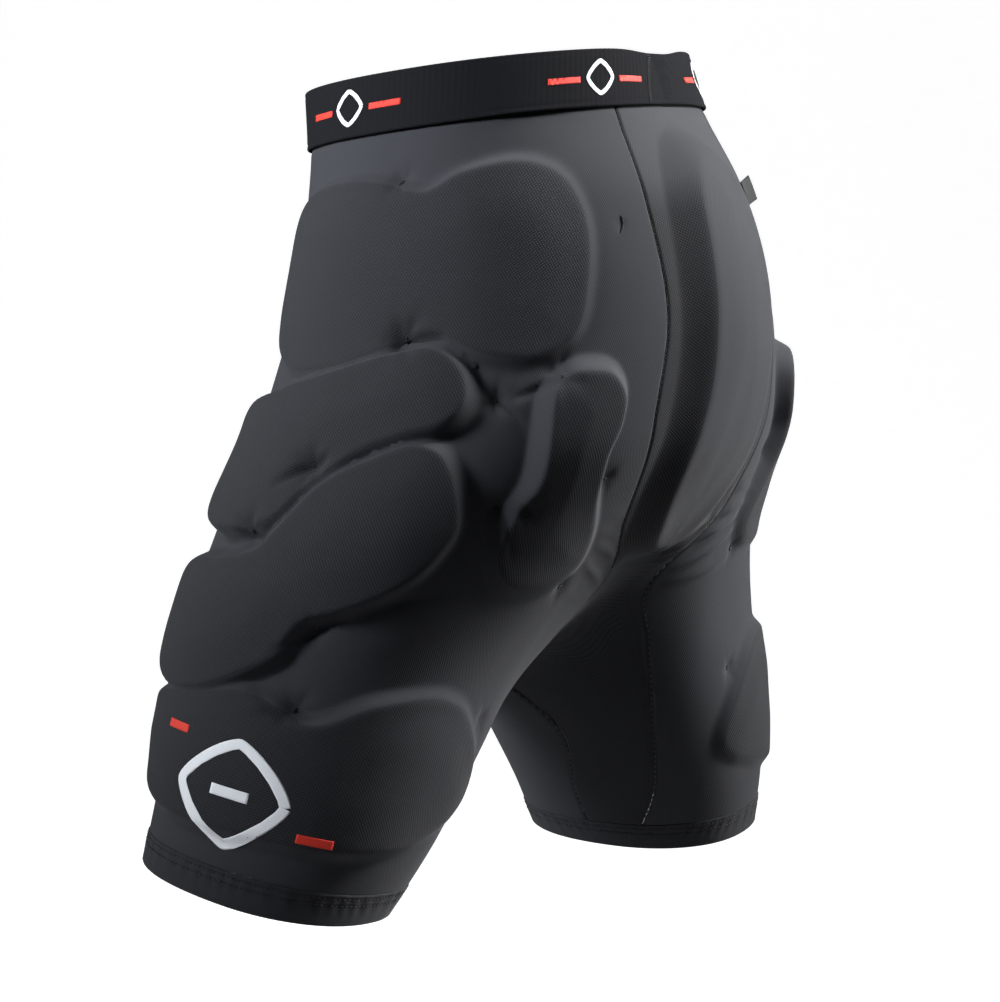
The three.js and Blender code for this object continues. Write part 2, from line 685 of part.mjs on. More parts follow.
// The waistband: one ring, its columns evenly spread round both halves.
const bandDrops = [-BAND_HEIGHT / 2, BAND_HEIGHT / 2];
const bandGrid = bandDrops.map((drop) => {
  const front = reachAt(drop, angleAtX(drop, 0, false));
  const back = reachAt(drop, angleAtX(drop, 0, true));
  const half = BAND_COLUMNS / 2;
  return Array.from({ length: BAND_COLUMNS }, (_, j) => {
    const side = j < half ? 1 : -1;
    const share = j < half ? j / half : 2 - j / half;
    return frameAt(side, drop, angleAt(drop, mix(front, back, share)), false);
  });
});
const bandOuter = layer(bandGrid, GAP + BAND_THICKNESS);
const bandInner = layer(bandGrid, GAP);
addPiece('waistband', solidBetween(bandOuter, bandInner, true), 'waist_elastic');

// Pads: a plug of the pad's outline, its back on the body, is cut by the sheet behind the cloth.
function plugFor(pad, frameOf) {
  const rim = outlinePoints(pad, PAD_SPOKES);
  const rings = [0.33, 0.67, 1].map((share) => rim.map(([u, w]) => {
    return frameOf(mix(pad.at[0], u, share), mix(pad.at[1], w, share));
  }));
  const top = rings.map((line) => line.map((frame) => offsetPoint(frame, PAD_CUT_HEIGHT)));
  const bottom = rings.map((line) => line.map((frame) => offsetPoint(frame, -PAD_BACK)));
  return asSolid(capped(top, bottom));
}

// A closed body from rings of points: the first ring is closed by a point in its middle.
function capped(top, bottom) {
  const spokes = top[0].length;
  const positions = [];
  const faces = [];
  [top, bottom].forEach((rings) => {
    const middle = rings[0].reduce((sum, point) => sum.add(point), new THREE.Vector3());
    middle.divideScalar(spokes);
    positions.push(middle.x, middle.y, middle.z);
    rings.forEach((line) => line.forEach((point) => positions.push(point.x, point.y, point.z)));
  });
  const layerSize = 1 + top.length * spokes;
  const at = (which, ring, j) => which * layerSize + 1 + ring * spokes + (j % spokes);
  for (let j = 0; j < spokes; j += 1) {
    faces.push(0, at(0, 0, j), at(0, 0, j + 1));
    faces.push(layerSize, at(1, 0, j + 1), at(1, 0, j));
    for (let r = 0; r < top.length - 1; r += 1) {
      faces.push(at(0, r, j), at(0, r + 1, j), at(0, r + 1, j + 1));
      faces.push(at(0, r, j), at(0, r + 1, j + 1), at(0, r, j + 1));
      faces.push(at(1, r, j), at(1, r + 1, j + 1), at(1, r + 1, j));
      faces.push(at(1, r, j), at(1, r, j + 1), at(1, r + 1, j + 1));
    }
    const rim = top.length - 1;
    faces.push(at(0, rim, j), at(1, rim, j), at(1, rim, j + 1));
    faces.push(at(0, rim, j), at(1, rim, j + 1), at(0, rim, j + 1));
  }
  return faceOut(positions, faces);
}

function padSheet(clothGrid, bodyGrid) {
  const top = layer(clothGrid, -CLOTH - GAP);
  return asSolid(solidBetween(top, layer(bodyGrid, -PAD_CUT_DEPTH), false, layer(clothGrid, 0)));
}

Object.entries(legs).forEach(([name, side]) => {
  const sheet = padSheet(legGrids[name], legFrames(side, false));
  Object.entries(SIDE_PADS).forEach(([padName, pad]) => {
    const plug = plugFor(pad, (reach, drop) => frameAt(side, drop, angleAt(drop, reach), false));
    addPiece(`${name}_${padName}`, asGeometry(sheet.intersect(plug)), 'pad_foam');
  });
});

const backSheet = padSheet(backGrid, centreFrames(true, BACK_COLUMNS, false));
const tailbonePlug = plugFor(TAILBONE_PAD, (x, drop) => {
  return frameAt(x < 0 ? -1 : 1, drop, angleAtX(drop, Math.abs(x), true), false);
});
addPiece('tailbone_pad', asGeometry(backSheet.intersect(tailbonePlug)), 'pad_foam');

// The tab: a small folded strip, caught in the right back seam and lying towards the side.
const tabGrid = [-0.5, 0.5].map((share) => [0, 0.5, 1].map((along) => {
  const drop = TAB_DROP + share * TAB_HEIGHT;
  const reach = bodyRow(drop).backSeam - TAB_FROM_SEAM - along * TAB_LENGTH;
  return frameAt(-1, drop, angleAt(drop, reach), false);
}));
const tabOuter = layer(tabGrid, TAB_LIFT + TAB_THICKNESS);
const tabInner = layer(tabGrid, TAB_LIFT);
addPiece('seam_tab', solidBetween(tabOuter, tabInner), 'tab_weave');

export default group;
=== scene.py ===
# %% [markdown]
# # Padded impact shorts
# These shorts are a stretch knit shell with foam pads sewn in behind it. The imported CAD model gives
# the frame: every piece made here sits on the same body form, in metres, with +X to the wearer's
# left, -Y to the front and the origin in the middle of the waist opening.

# %% Load the frame
import json
import math
import bmesh
import bpy
import numpy as np
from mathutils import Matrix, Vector

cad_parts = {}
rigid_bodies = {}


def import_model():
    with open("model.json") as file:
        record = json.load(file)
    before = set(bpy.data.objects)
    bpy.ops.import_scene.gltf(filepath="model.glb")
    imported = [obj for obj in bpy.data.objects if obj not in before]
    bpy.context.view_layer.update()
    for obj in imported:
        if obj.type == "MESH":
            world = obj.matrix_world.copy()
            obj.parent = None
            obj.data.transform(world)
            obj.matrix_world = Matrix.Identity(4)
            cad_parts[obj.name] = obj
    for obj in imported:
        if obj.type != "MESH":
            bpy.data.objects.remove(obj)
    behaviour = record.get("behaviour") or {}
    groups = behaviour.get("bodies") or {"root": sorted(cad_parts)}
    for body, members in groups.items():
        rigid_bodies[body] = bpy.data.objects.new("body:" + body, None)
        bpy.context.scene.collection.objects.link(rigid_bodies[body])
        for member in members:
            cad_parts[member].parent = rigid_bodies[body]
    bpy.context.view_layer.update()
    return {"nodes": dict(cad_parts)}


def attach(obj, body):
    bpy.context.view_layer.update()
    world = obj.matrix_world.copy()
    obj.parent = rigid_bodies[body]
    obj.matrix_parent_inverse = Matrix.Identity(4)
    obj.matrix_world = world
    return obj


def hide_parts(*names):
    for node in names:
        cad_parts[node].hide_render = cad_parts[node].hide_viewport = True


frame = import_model()
print("CAD nodes:", len(frame["nodes"]))

# %% [markdown]
# ## The camera
# The photo looks from behind the wearer's left, a little above the hips. The camera stands at that
# angle, and a long lens keeps the near and far leg in the photo's proportions.

# %% Camera
CAMERA_AZIMUTH = math.radians(118.5)
CAMERA_HEIGHT = math.radians(5.5)
CAMERA_DISTANCE = 2.05
CAMERA_LENS = 129.8
CAMERA_SHIFT = (0.0155, -0.0165)
CAMERA_TARGET = Vector((0.0, -0.010, -0.215))
away = Vector((
    math.sin(CAMERA_AZIMUTH) * math.cos(CAMERA_HEIGHT),
    -math.cos(CAMERA_AZIMUTH) * math.cos(CAMERA_HEIGHT),
    math.sin(CAMERA_HEIGHT),
))
camera_data = bpy.data.cameras.new("camera")
camera = bpy.data.objects.new("camera", camera_data)
bpy.context.collection.objects.link(camera)
camera.location = CAMERA_TARGET + away * CAMERA_DISTANCE
camera.rotation_euler = away.to_track_quat("Z", "Y").to_euler()
camera_data.lens = CAMERA_LENS
camera_data.shift_x, camera_data.shift_y = CAMERA_SHIFT
bpy.context.scene.camera = camera
print("camera at", [round(v, 3) for v in camera.location])

# %% [markdown]
# ## The body form
# The shorts keep the shape of the hips and thighs inside them. Each row of this table is one level
# of half a body: how far down it is, how far its middle leans out, its half widths and depths, its
# tilt, and where the two long seams run. Each number is a share of a named size, in millimetres.

# %% Body sizes and rows
OUTSEAM = 436.0
HIP_HALF_WIDTH = 155.0
BELLY_DEPTH = 110.0
SEAT_DEPTH = 131.0
LEG_SPREAD = 150.0
FRONT_SEAM_REACH = 272.0
BACK_SEAM_REACH = 228.0
SQUARENESS = 0.9
CREASE = 24.0
FIELDS = (
    "down", "lean", "outer", "inner", "shift", "front", "back", "roll", "pitch",
    "front_seam", "back_seam",
)
SCALE = np.array([
    OUTSEAM, LEG_SPREAD, HIP_HALF_WIDTH, HIP_HALF_WIDTH, SEAT_DEPTH, BELLY_DEPTH, SEAT_DEPTH,
    1.0, 1.0, FRONT_SEAM_REACH, BACK_SEAM_REACH,
])
BODY_ROWS = np.array([
    [-0.04, 0.00, 0.78, 0.78, 0.01, 0.89, 0.71, 0.00, 0.14, 0.48, 0.56],
    [0.04, 0.00, 0.83, 0.83, 0.03, 0.87, 0.78, 0.00, 0.14, 0.50, 0.58],
    [0.14, 0.00, 0.91, 0.91, 0.05, 0.89, 0.95, 0.00, 0.10, 0.55, 0.655],
    [0.27, 0.00, 1.00, 1.00, 0.06, 0.96, 1.055, 0.00, 0.05, 0.61, 0.74],
    [0.40, 0.15, 1.00, 0.94, 0.05, 1.00, 1.00, 0.00, 0.02, 0.69, 0.78],
    [0.51, 0.35, 0.90, 0.81, 0.02, 1.00, 0.845, 0.02, 0.00, 0.79, 0.85],
    [0.60, 0.52, 0.77, 0.68, 0.00, 0.93, 0.725, 0.01, -0.02, 0.87, 1.00],
    [0.69, 0.65, 0.66, 0.59, 0.00, 0.86, 0.635, 0.02, -0.03, 0.94, 0.93],
    [0.80, 0.78, 0.555, 0.50, 0.00, 0.80, 0.59, 0.05, -0.04, 0.99, 0.88],
    [0.91, 0.91, 0.475, 0.44, -0.02, 0.70, 0.55, 0.05, -0.06, 0.84, 0.83],
    [1.00, 1.00, 0.43, 0.385, -0.03, 0.66, 0.46, 0.03, -0.09, 0.78, 0.80],
])
print("body rows:", len(BODY_ROWS))


# %% [markdown]
# A smooth curve through the rows gives the body at any level, and a power of the sine and cosine
# makes each level a slightly square oval. The half body is pulled onto the centre plane in a round
# crease, so the two halves join at the crotch without a sharp fold.

# %% Points of the body form
def ease(value):
    """A smooth step from 0 to 1."""
    t = np.clip(value, 0.0, 1.0)
    return t * t * (3.0 - 2.0 * t)


def mix(a, b, t):
    """The value a share t of the way from a to b."""
    return a + (b - a) * t


def body_row(drop):
    """The fields of the body at each drop, as a dictionary of arrays."""
    down = np.asarray(drop, float) / OUTSEAM
    levels = BODY_ROWS[:, 0]
    slopes = np.empty_like(BODY_ROWS)
    slopes[1:-1] = (BODY_ROWS[2:] - BODY_ROWS[:-2]) / (levels[2:] - levels[:-2])[:, None]
    slopes[0] = (BODY_ROWS[1] - BODY_ROWS[0]) / (levels[1] - levels[0])
    slopes[-1] = (BODY_ROWS[-1] - BODY_ROWS[-2]) / (levels[-1] - levels[-2])
    k = np.clip(np.searchsorted(levels, down, side="right") - 1, 0, len(levels) - 2)
    span = (levels[k + 1] - levels[k])[..., None]
    t = (down - levels[k])[..., None] / span
    rise = BODY_ROWS[k + 1] - BODY_ROWS[k]
    m0 = slopes[k] * span
    m1 = slopes[k + 1] * span
    value = BODY_ROWS[k] + t * m0 + t * t * (3 * rise - 2 * m0 - m1) + t**3 * (m0 + m1 - 2 * rise)
    value = value * SCALE
    return {field: value[..., i] for i, field in enumerate(FIELDS)}


def ring_point(drop, angle):
    """One point of the half body. Angle 0 is the side, 90 degrees the back, 180 the inner thigh."""
    row = body_row(drop)
    c, s = np.cos(angle), np.sin(angle)
    x = np.where(c >= 0, row["outer"], row["inner"]) * np.sign(c) * np.abs(c) ** SQUARENESS
    y = np.where(s >= 0, row["back"], row["front"]) * np.sign(s) * np.abs(s) ** SQUARENESS
    z = -row["down"] + row["roll"] * x + row["pitch"] * y
    return np.stack([row["lean"] + x, row["shift"] + y, z], -1)


def body_point(drop, angle):
    """A point of the half body, with the round crease at the centre plane."""
    point = ring_point(drop, angle)
    x = point[..., 0]
    square = 2 * CREASE * x - CREASE**2
    point[..., 0] = np.where(x >= CREASE, x, np.sign(square) * np.sqrt(np.abs(square)))
    return point


def body_normal(drop, angle):
    """The way out of the body at a point."""
    round_it = body_point(drop, angle + 0.01) - body_point(drop, angle - 0.01)
    down = body_point(drop + 0.5, angle) - body_point(drop - 0.5, angle)
    normal = np.cross(down, round_it)
    return normal / np.linalg.norm(normal, axis=-1, keepdims=True)


print("hip point:", ring_point(np.array(117.0), np.array(0.0)).round(1))

# %% [markdown]
# Patterns are cut flat, so places on the cloth are given by reach, the distance round the body from
# the side line (positive towards the back), and by drop. One table of distances for every
# millimetre of drop turns a reach into an angle.

# %% Reach and angle
RING_STEPS = 240
LEVELS = np.arange(-30.0, 450.0, 1.0)
ring_angles = np.linspace(-np.pi, np.pi, RING_STEPS + 1)
ring_points = ring_point(LEVELS[:, None] + 0 * ring_angles, ring_angles + 0 * LEVELS[:, None])
ring_reach = np.zeros((len(LEVELS), RING_STEPS + 1))
ring_reach[:, 1:] = np.cumsum(np.linalg.norm(np.diff(ring_points, axis=1), axis=-1), axis=1)
ring_reach -= ring_reach[:, RING_STEPS // 2][:, None]


def reach_rows(drop):
    """One row of the table of distances for each drop."""
    place = np.clip((drop - LEVELS[0]), 0, len(LEVELS) - 1.001)
    k = place.astype(int)
    return mix(ring_reach[k], ring_reach[k + 1], (place - k)[:, None])


def girth(drop):
    """The distance once round the half body."""
    table = reach_rows(np.atleast_1d(np.asarray(drop, float)))
    return table[:, -1] - table[:, 0]


def angle_at(drop, reach):
    """The angle at a reach, for arrays of any shape."""
    drop, reach = np.broadcast_arrays(np.asarray(drop, float), np.asarray(reach, float))
    shape, drop, reach = drop.shape, drop.ravel(), reach.ravel()
    result = np.empty(drop.size)
    for start in range(0, drop.size, 8000):
        part = slice(start, start + 8000)
        table = reach_rows(drop[part])
        full = table[:, -1] - table[:, 0]
        turns = np.floor((reach[part] - table[:, 0]) / full)
        rest = reach[part] - turns * full
        low = np.clip((table <= rest[:, None]).sum(1) - 1, 0, RING_STEPS - 1)
        rows = np.arange(low.size)
        t = (rest - table[rows, low]) / (table[rows, low + 1] - table[rows, low])
        result[part] = -np.pi + ((low + t) / RING_STEPS + turns) * 2 * np.pi
    return result.reshape(shape)


def angle_at_x(drop, x, back):
    """The angle where the half body is x from the centre plane, on its back or its front."""
    row = body_row(drop)
    flat = np.where(x >= CREASE, x, (x * x + CREASE**2) / (2 * CREASE))
    share = (flat - row["lean"]) / np.where(flat >= row["lean"], row["outer"], row["inner"])
    c = np.sign(share) * np.minimum(1.0, np.abs(share)) ** (1 / SQUARENESS)
    return np.where(back, 1.0, -1.0) * np.arccos(c)


print("girth of the half body at the hips:", round(float(girth(117.0)[0])), "mm")

# %% [markdown]
# ## The pads in the pattern
# Five pads lie down each side and one lies over the tailbone. Each has a middle, half sizes, how
# far it lifts the cloth and how wide the cloth's slope is outside its edge. Its outline is a few
# points, as shares of the half sizes, joined by a smooth curve.

# %% Pad outlines
SIDE_PADS = {
    "hip_pad": ((15, 92), (99, 50), (9, 9), [
        (-1, 0.16), (-0.92, -0.48), (-0.72, -0.88), (-0.43, -1), (-0.15, -0.94), (0.09, -0.8),
        (0.29, -0.96), (0.58, -1.02), (0.82, -0.84), (0.97, -0.4), (1, 0.16), (0.96, 0.68),
        (0.76, 0.88), (0.49, 0.84), (0.23, 0.64), (-0.03, 0.78), (-0.31, 0.96), (-0.6, 1),
        (-0.84, 0.8), (-0.97, 0.48)]),
    "upper_thigh_pad": ((-26, 184), (86, 52), (12, 9), [
        (-1, 0.4), (-0.92, -0.12), (-0.68, -0.4), (-0.37, -0.54), (0.02, -0.71), (0.42, -0.9),
        (0.72, -1), (0.93, -0.81), (1, -0.52), (0.91, -0.29), (0.72, -0.19), (0.47, -0.02),
        (0.28, 0.23), (0.14, 0.5), (0.02, 0.79), (-0.21, 0.98), (-0.49, 1), (-0.8, 0.85)]),
    "mid_thigh_pad": ((-15, 259), (87, 78), (11, 9), [
        (-1, 0.52), (-0.93, 0.17), (-0.7, -0.02), (-0.44, -0.06), (-0.16, -0.18), (-0.03, -0.41),
        (0.14, -0.72), (0.36, -0.88), (0.61, -1), (0.79, -0.95), (0.91, -0.73), (0.99, -0.47),
        (0.94, -0.29), (0.86, -0.15), (0.75, -0.03), (0.56, 0.12), (0.4, 0.21), (0.31, 0.32),
        (0.28, 0.45), (0.23, 0.58), (0.06, 0.74), (-0.17, 0.91), (-0.44, 0.99), (-0.7, 0.94),
        (-0.92, 0.78)]),
    "lower_thigh_pad": ((26, 358), (127, 42), (8, 8), [
        (-1, 0.17), (-0.89, -0.24), (-0.7, -0.42), (-0.52, -0.5), (-0.27, -0.74), (-0.09, -0.64),
        (0.02, -0.5), (0.13, -0.6), (0.27, -0.86), (0.46, -1.02), (0.61, -1.02), (0.75, -0.86),
        (0.86, -0.55), (0.95, -0.19), (1, 0.26), (0.91, 0.5), (0.8, 0.62), (0.61, 0.79),
        (0.28, 0.93), (-0.12, 0.98), (-0.34, 1), (-0.54, 0.98), (-0.72, 0.88), (-0.9, 0.64)]),
    "buttock_pad": ((131, 198), (34, 55), (10, 9), [
        (-0.26, -0.98), (0.06, -0.93), (0.32, -0.75), (0.36, -0.51), (0.26, -0.22), (0.44, 0.16),
        (0.82, 0.51), (0.97, 0.78), (0.62, 0.95), (-0.03, 1), (-0.53, 0.95), (-0.88, 0.75),
        (-0.94, 0.56), (-0.86, 0.29), (-0.72, 0), (-0.76, -0.42), (-0.79, -0.78), (-0.6, -0.95)]),
}
TAILBONE_PAD = ((4, 142), (38, 97), (10, 20), [
    (0, -1), (0.4, -0.95), (0.66, -0.8), (0.78, -0.54), (0.85, -0.23), (0.92, 0.08), (1, 0.34),
    (1, 0.55), (0.8, 0.76), (0.48, 0.92), (0, 1), (-0.48, 0.92), (-0.8, 0.76), (-1, 0.55),
    (-1, 0.34), (-0.92, 0.08), (-0.85, -0.23), (-0.78, -0.54), (-0.66, -0.8), (-0.4, -0.95)])


def smooth_outline(pad, steps=8):
    """The pad's closed outline in millimetres, with a few points between each pair in the table."""
    middle, half, _, shares = pad
    points = np.array(middle) + np.array(shares) * np.array(half)
    before, after, beyond = np.roll(points, 1, 0), np.roll(points, -1, 0), np.roll(points, -2, 0)
    t = (np.arange(steps) / steps)[None, :, None]
    a, b, c, d = before[:, None], points[:, None], after[:, None], beyond[:, None]
    bend = (2 * a - 5 * b + 4 * c - d) * t**2
    twist = (3 * b - a - 3 * c + d) * t**3
    curve = 0.5 * (2 * b + (c - a) * t + bend + twist)
    return curve.reshape(-1, 2)


def depth_inside(outline, x, y):
    """Distance inside an outline: positive inside and negative outside."""
    shape, x, y = np.shape(x), np.ravel(x), np.ravel(y)
    start, end = np.roll(outline, 1, 0), outline
    step = end - start
    result = np.empty(x.size)
    for begin in range(0, x.size, 20000):
        part = slice(begin, begin + 20000)
        px, py = x[part, None] - start[:, 0], y[part, None] - start[:, 1]
        t = np.clip((px * step[:, 0] + py * step[:, 1]) / (step**2).sum(1), 0, 1)
        near = np.sqrt(((px - t * step[:, 0]) ** 2 + (py - t * step[:, 1]) ** 2).min(1))
        above = (start[:, 1] > y[part, None]) != (end[:, 1] > y[part, None])
        rise = np.where(step[:, 1] == 0, 1e-9, step[:, 1])
        left = x[part, None] < start[:, 0] + py / rise * step[:, 0]
        result[part] = np.where((above & left).sum(1) % 2 == 1, near, -near)
    return result.reshape(shape)


side_outlines = {name: smooth_outline(pad) for name, pad in SIDE_PADS.items()}
tailbone_outline = smooth_outline(TAILBONE_PAD)
print("pads in the pattern:", len(side_outlines) * 2 + 1)

# %% [markdown]
# ## The relief of the cloth
# The knit is stretched over the pads like a tent: flat on each pad, with a firm edge, and straight
# down a slope beside it. It is tacked down to the lining at a few points, with dimples and short
# folds round each tack. One function gives the height of the cloth over the body anywhere, so every
# piece that touches the cloth, such as a mark or a stitch, follows the same relief.

# %% Tacks and folds
BACK_TIP = 0.573 * OUTSEAM
FRONT_TIP = 0.601 * OUTSEAM
PAD_CROWN = 1.2
PAD_CROWN_WIDTH = 28.0
EDGE_SOFTNESS = 0.9
FAR_OUTSIDE = -60.0
FAR_REACH = 400.0
TAIL_LIMIT = 330.0
LEFT_FOLD_SHARE = 0.35
TACKS = [
    # reach, drop, depth, radius
    (9, 44, 2.2, 6), (22, 126, 4.5, 8), (107, 146, 3.0, 7), (75, 156, 2.6, 6), (-13, 194, 4.5, 8),
    (-38, 234, 4.5, 8), (106, 213, 2.4, 5), (91, 213, 2.2, 5), (22, 331, 3.4, 7), (20, 283, 2.8, 6),
    (133, 74, 0.5, 3), (154, 199, 1.6, 5), (165, 255, 1.6, 5), (147, 328, 1.8, 5),
]
CREASES = [
    # reach, drop, half length, slope, depth, width: short deep folds beside the pads
    (30, 128, 15, -0.06, 3.6, 3.2), (-17, 197, 15, -0.65, 3.4, 3.4), (-50, 238, 14, 0.05, 3.4, 3.2),
    (62, 262, 30, -0.32, 1.2, 3.4), (20, 286, 17, -0.9, 2.2, 3.2), (24, 334, 22, -0.15, 2.2, 3.2),
    (96, 152, 16, -0.30, 1.8, 2.4), (-62, 152, 20, 0.12, 1.4, 2.8), (8, 330, 14, 0.7, 1.4, 2.2),
    (99, 222, 10, 1.6, 1.2, 2.6), (84, 162, 12, 0.9, 0.9, 2.6),
]
SEAT_FOLDS = [
    # reach, drop, half length, slope, height, width: soft folds under the buttock
    (196, 230, 32, 0.10, 2.4, 2.6), (203, 240, 32, 0.24, 3.0, 2.6), (199, 251, 28, 0.34, 2.6, 2.4),
    (190, 262, 30, 0.22, 1.6, 3.0), (184, 218, 24, -0.05, 1.3, 3.0), (206, 262, 18, 0.30, 1.4, 2.2),
]
print("tacks:", len(TACKS), "folds:", len(CREASES) + len(SEAT_FOLDS))

# %% [markdown]
# A cloth simulation could find the relief, but here the pads and tacks hold the cloth so firmly that
# a sum of simple shapes gives it: a tent over each pad, a dimple at each tack and a line for each
# fold. A sum also gives the same height to everything that lies on the cloth.

# %% Relief
def fold_line(reach, drop, fold):
    """A soft ridge along a short line in the pattern, from 0 to its height."""
    at, level, half, slope, height, width = fold
    along = (reach - at) / half
    across = (drop - level - slope * (reach - at)) / width
    return height * np.exp(-(across**2)) * np.clip(1 - along**2, 0, 1)


def pad_bulge(depth, lift, foot):
    """Height of the cloth over a pad: a straight slope up to a firm edge, then a slight crown."""
    slope = lift * np.clip((depth + foot) / foot, 0, 4) ** 1.25
    flat = lift + PAD_CROWN * ease(depth / PAD_CROWN_WIDTH)
    return -EDGE_SOFTNESS * np.logaddexp(-slope / EDGE_SOFTNESS, -flat / EDGE_SOFTNESS)


def tack_dimple(reach, drop, tack):
    """A dimple with small gathers round it."""
    at, level, deep, radius = tack
    dx, dy = reach - at, drop - level
    far = np.hypot(dx, dy) / radius
    gather = np.cos(6 * np.arctan2(dy, dx) + at) * far * np.exp(-(far**2) / 1.6)
    return 0.16 * deep * gather - deep * np.exp(-(far**2))


def lift_share(name, reach, drop):
    """The pads thin out towards the back, and the buttock pad towards its bottom."""
    if name == "buttock_pad":
        return 1.2 - 0.75 * ease((drop - 175) / 70)
    return 1 - 0.45 * ease((reach - 45) / 70)


def higher(a, b):
    """The larger of two heights, with a soft change from one to the other."""
    return 0.5 * (a + b + np.sqrt((a - b) ** 2 + 1.0) - 1.0)


def relief(side, drop, reach, x, back):
    """Height of the cloth over the body, and depth into the pads' darker tone: foam and painted shade.
    """
    height = np.zeros(np.shape(drop))
    dark = np.full(np.shape(drop), FAR_OUTSIDE)
    for name, outline in side_outlines.items():
        depth = depth_inside(outline, reach, drop)
        lift, foot = SIDE_PADS[name][2]
        height = higher(height, pad_bulge(depth, lift * lift_share(name, reach, drop), foot))
        # Inside a pad the knit is tinted darker: partly the foam, partly painted shade.
        dark = np.maximum(dark, depth)
    lift, foot = TAILBONE_PAD[2]
    over_back = back & (drop < TAIL_LIMIT)
    depth = np.where(over_back, depth_inside(tailbone_outline, side * x, drop), FAR_OUTSIDE)
    height = np.maximum(height, pad_bulge(depth, lift, foot) * ease((BACK_TIP - drop) / 16))
    for tack in TACKS:
        height = height + tack_dimple(reach, drop, tack)
    for fold in CREASES:
        height = height - fold_line(reach, drop, fold)
    seam_near = ease(np.abs(reach - body_row(drop)["back_seam"]) / 9)
    fold_share = np.where(side < 0, 1.0, LEFT_FOLD_SHARE)
    for fold in SEAT_FOLDS:
        height = height + fold_line(reach, drop, fold) * back * seam_near * fold_share
    wave = np.sin(reach / 17.0 + 1.3 * np.sin(drop / 23.0)) * np.sin(drop / 19.0 + 0.7)
    height = height + 0.25 * wave * ease((drop - 24) / 20) * ease((412 - drop) / 14)
    return height, dark


def seam_dip(distance, deep=0.9, width=0.9):
    """The cloth turns in along a seam, so its edge dips over the last millimetre."""
    return -deep * np.exp(-((distance / width) ** 2))


print("height on the crown of a pad of 12 mm:", round(float(pad_bulge(40.0, 12, 9)), 1), "mm")

# %% [markdown]
# ## The stance
# The photo shows the left leg a step forward and the right leg a little back. Each leg turns about
# the hip, and the turn fades in below it, so the knit bends smoothly and is not cut.

# %% Stance and surface
STEP_PIVOT_DROP = 90.0
STEP_START_DROP = 170.0
STEP_FULL_DROP = 330.0
STEP_BLEND = 70.0
LEFT_STEP_DEG = 7.2
RIGHT_STEP_DEG = -3.1
LEFT_SPLAY_DEG = 2.6
RIGHT_SPLAY_DEG = 2.8
LEFT_HIP_RISE = 5.0
RIGHT_HIP_RISE = -6.0
MM = 0.001


def stand(point):
    """Turns points of the straight body into the stance of the photo."""
    side = ease(0.5 + point[..., 0] / (2 * STEP_BLEND))
    fade = ease((-STEP_START_DROP - point[..., 2]) / (STEP_FULL_DROP - STEP_START_DROP))
    step = np.radians(mix(RIGHT_STEP_DEG, LEFT_STEP_DEG, side)) * fade
    splay = np.radians(mix(-RIGHT_SPLAY_DEG, LEFT_SPLAY_DEG, side)) * fade
    rise = mix(RIGHT_HIP_RISE, LEFT_HIP_RISE, side) * fade
    z = point[..., 2] + STEP_PIVOT_DROP
    y = point[..., 1] * np.cos(step) + z * np.sin(step)
    deep = z * np.cos(step) - point[..., 1] * np.sin(step)
    x = point[..., 0] * np.cos(splay) - deep * np.sin(splay)
    low = point[..., 0] * np.sin(splay) + deep * np.cos(splay)
    return np.stack([x, y, low - STEP_PIVOT_DROP + rise], -1)


def surface(side, drop, angle, height):
    """Points at a height over the body, in the stance, in millimetres. Side is 1 left, -1 right."""
    point = body_point(drop, angle) + body_normal(drop, angle) * height[..., None]
    point[..., 0] *= side
    return stand(point)


def grid_normals(points):
    """Normals of a grid of points, by the differences between its neighbours."""
    normal = np.cross(np.gradient(points, axis=0), np.gradient(points, axis=1))
    return normal / np.maximum(np.linalg.norm(normal, axis=-1, keepdims=True), 1e-12)


print("stance:", LEFT_STEP_DEG, "degrees forward and", -RIGHT_STEP_DEG, "degrees back")

# %% [markdown]
# ## From a grid to a closed sheet
# A sheet of cloth is a grid of points with a thickness. The outer face is fine, because it carries
# the relief, and the inner face keeps every third point. The two are joined round the rim, so the
# piece is closed. The pattern's own coordinates are kept as a UV map, so the knit follows the cloth.

# %% Closed sheets
def new_mesh(name, points, faces, uv, values=None):
    """A piece from points in millimetres, with the pattern's coordinates as its UV map."""
    mesh = bpy.data.meshes.new(name)
    mesh.from_pydata((np.asarray(points) * MM).tolist(), [], faces)
    layer = mesh.uv_layers.new(name="cloth")
    corners = np.empty(len(mesh.loops), np.int64)
    mesh.loops.foreach_get("vertex_index", corners)
    layer.data.foreach_set("uv", (np.asarray(uv, float)[corners] * MM).ravel())
    for key, value in (values or {}).items():
        attribute = mesh.attributes.new(key, "FLOAT", "POINT")
        attribute.data.foreach_set("value", np.asarray(value, np.float32).ravel())
    mesh.polygons.foreach_set("use_smooth", [True] * len(mesh.polygons))
    piece = bpy.data.objects.new(name, mesh)
    bpy.context.collection.objects.link(piece)
    return piece


def grid_faces(rows, columns, offset=0, flip=False, ring=False):
    """Four-sided faces between the points of a grid, or of a grid closed into a ring."""
    i = np.arange(rows - 1)[:, None]
    j = np.arange(columns if ring else columns - 1)[None, :]
    k = (j + 1) % columns
    a, b = i * columns + j, (i + 1) * columns + j
    c, d = (i + 1) * columns + k, i * columns + k
    order = (d, c, b, a) if flip else (a, b, c, d)
    return (np.stack([x.ravel() for x in np.broadcast_arrays(*order)], -1) + offset).tolist()


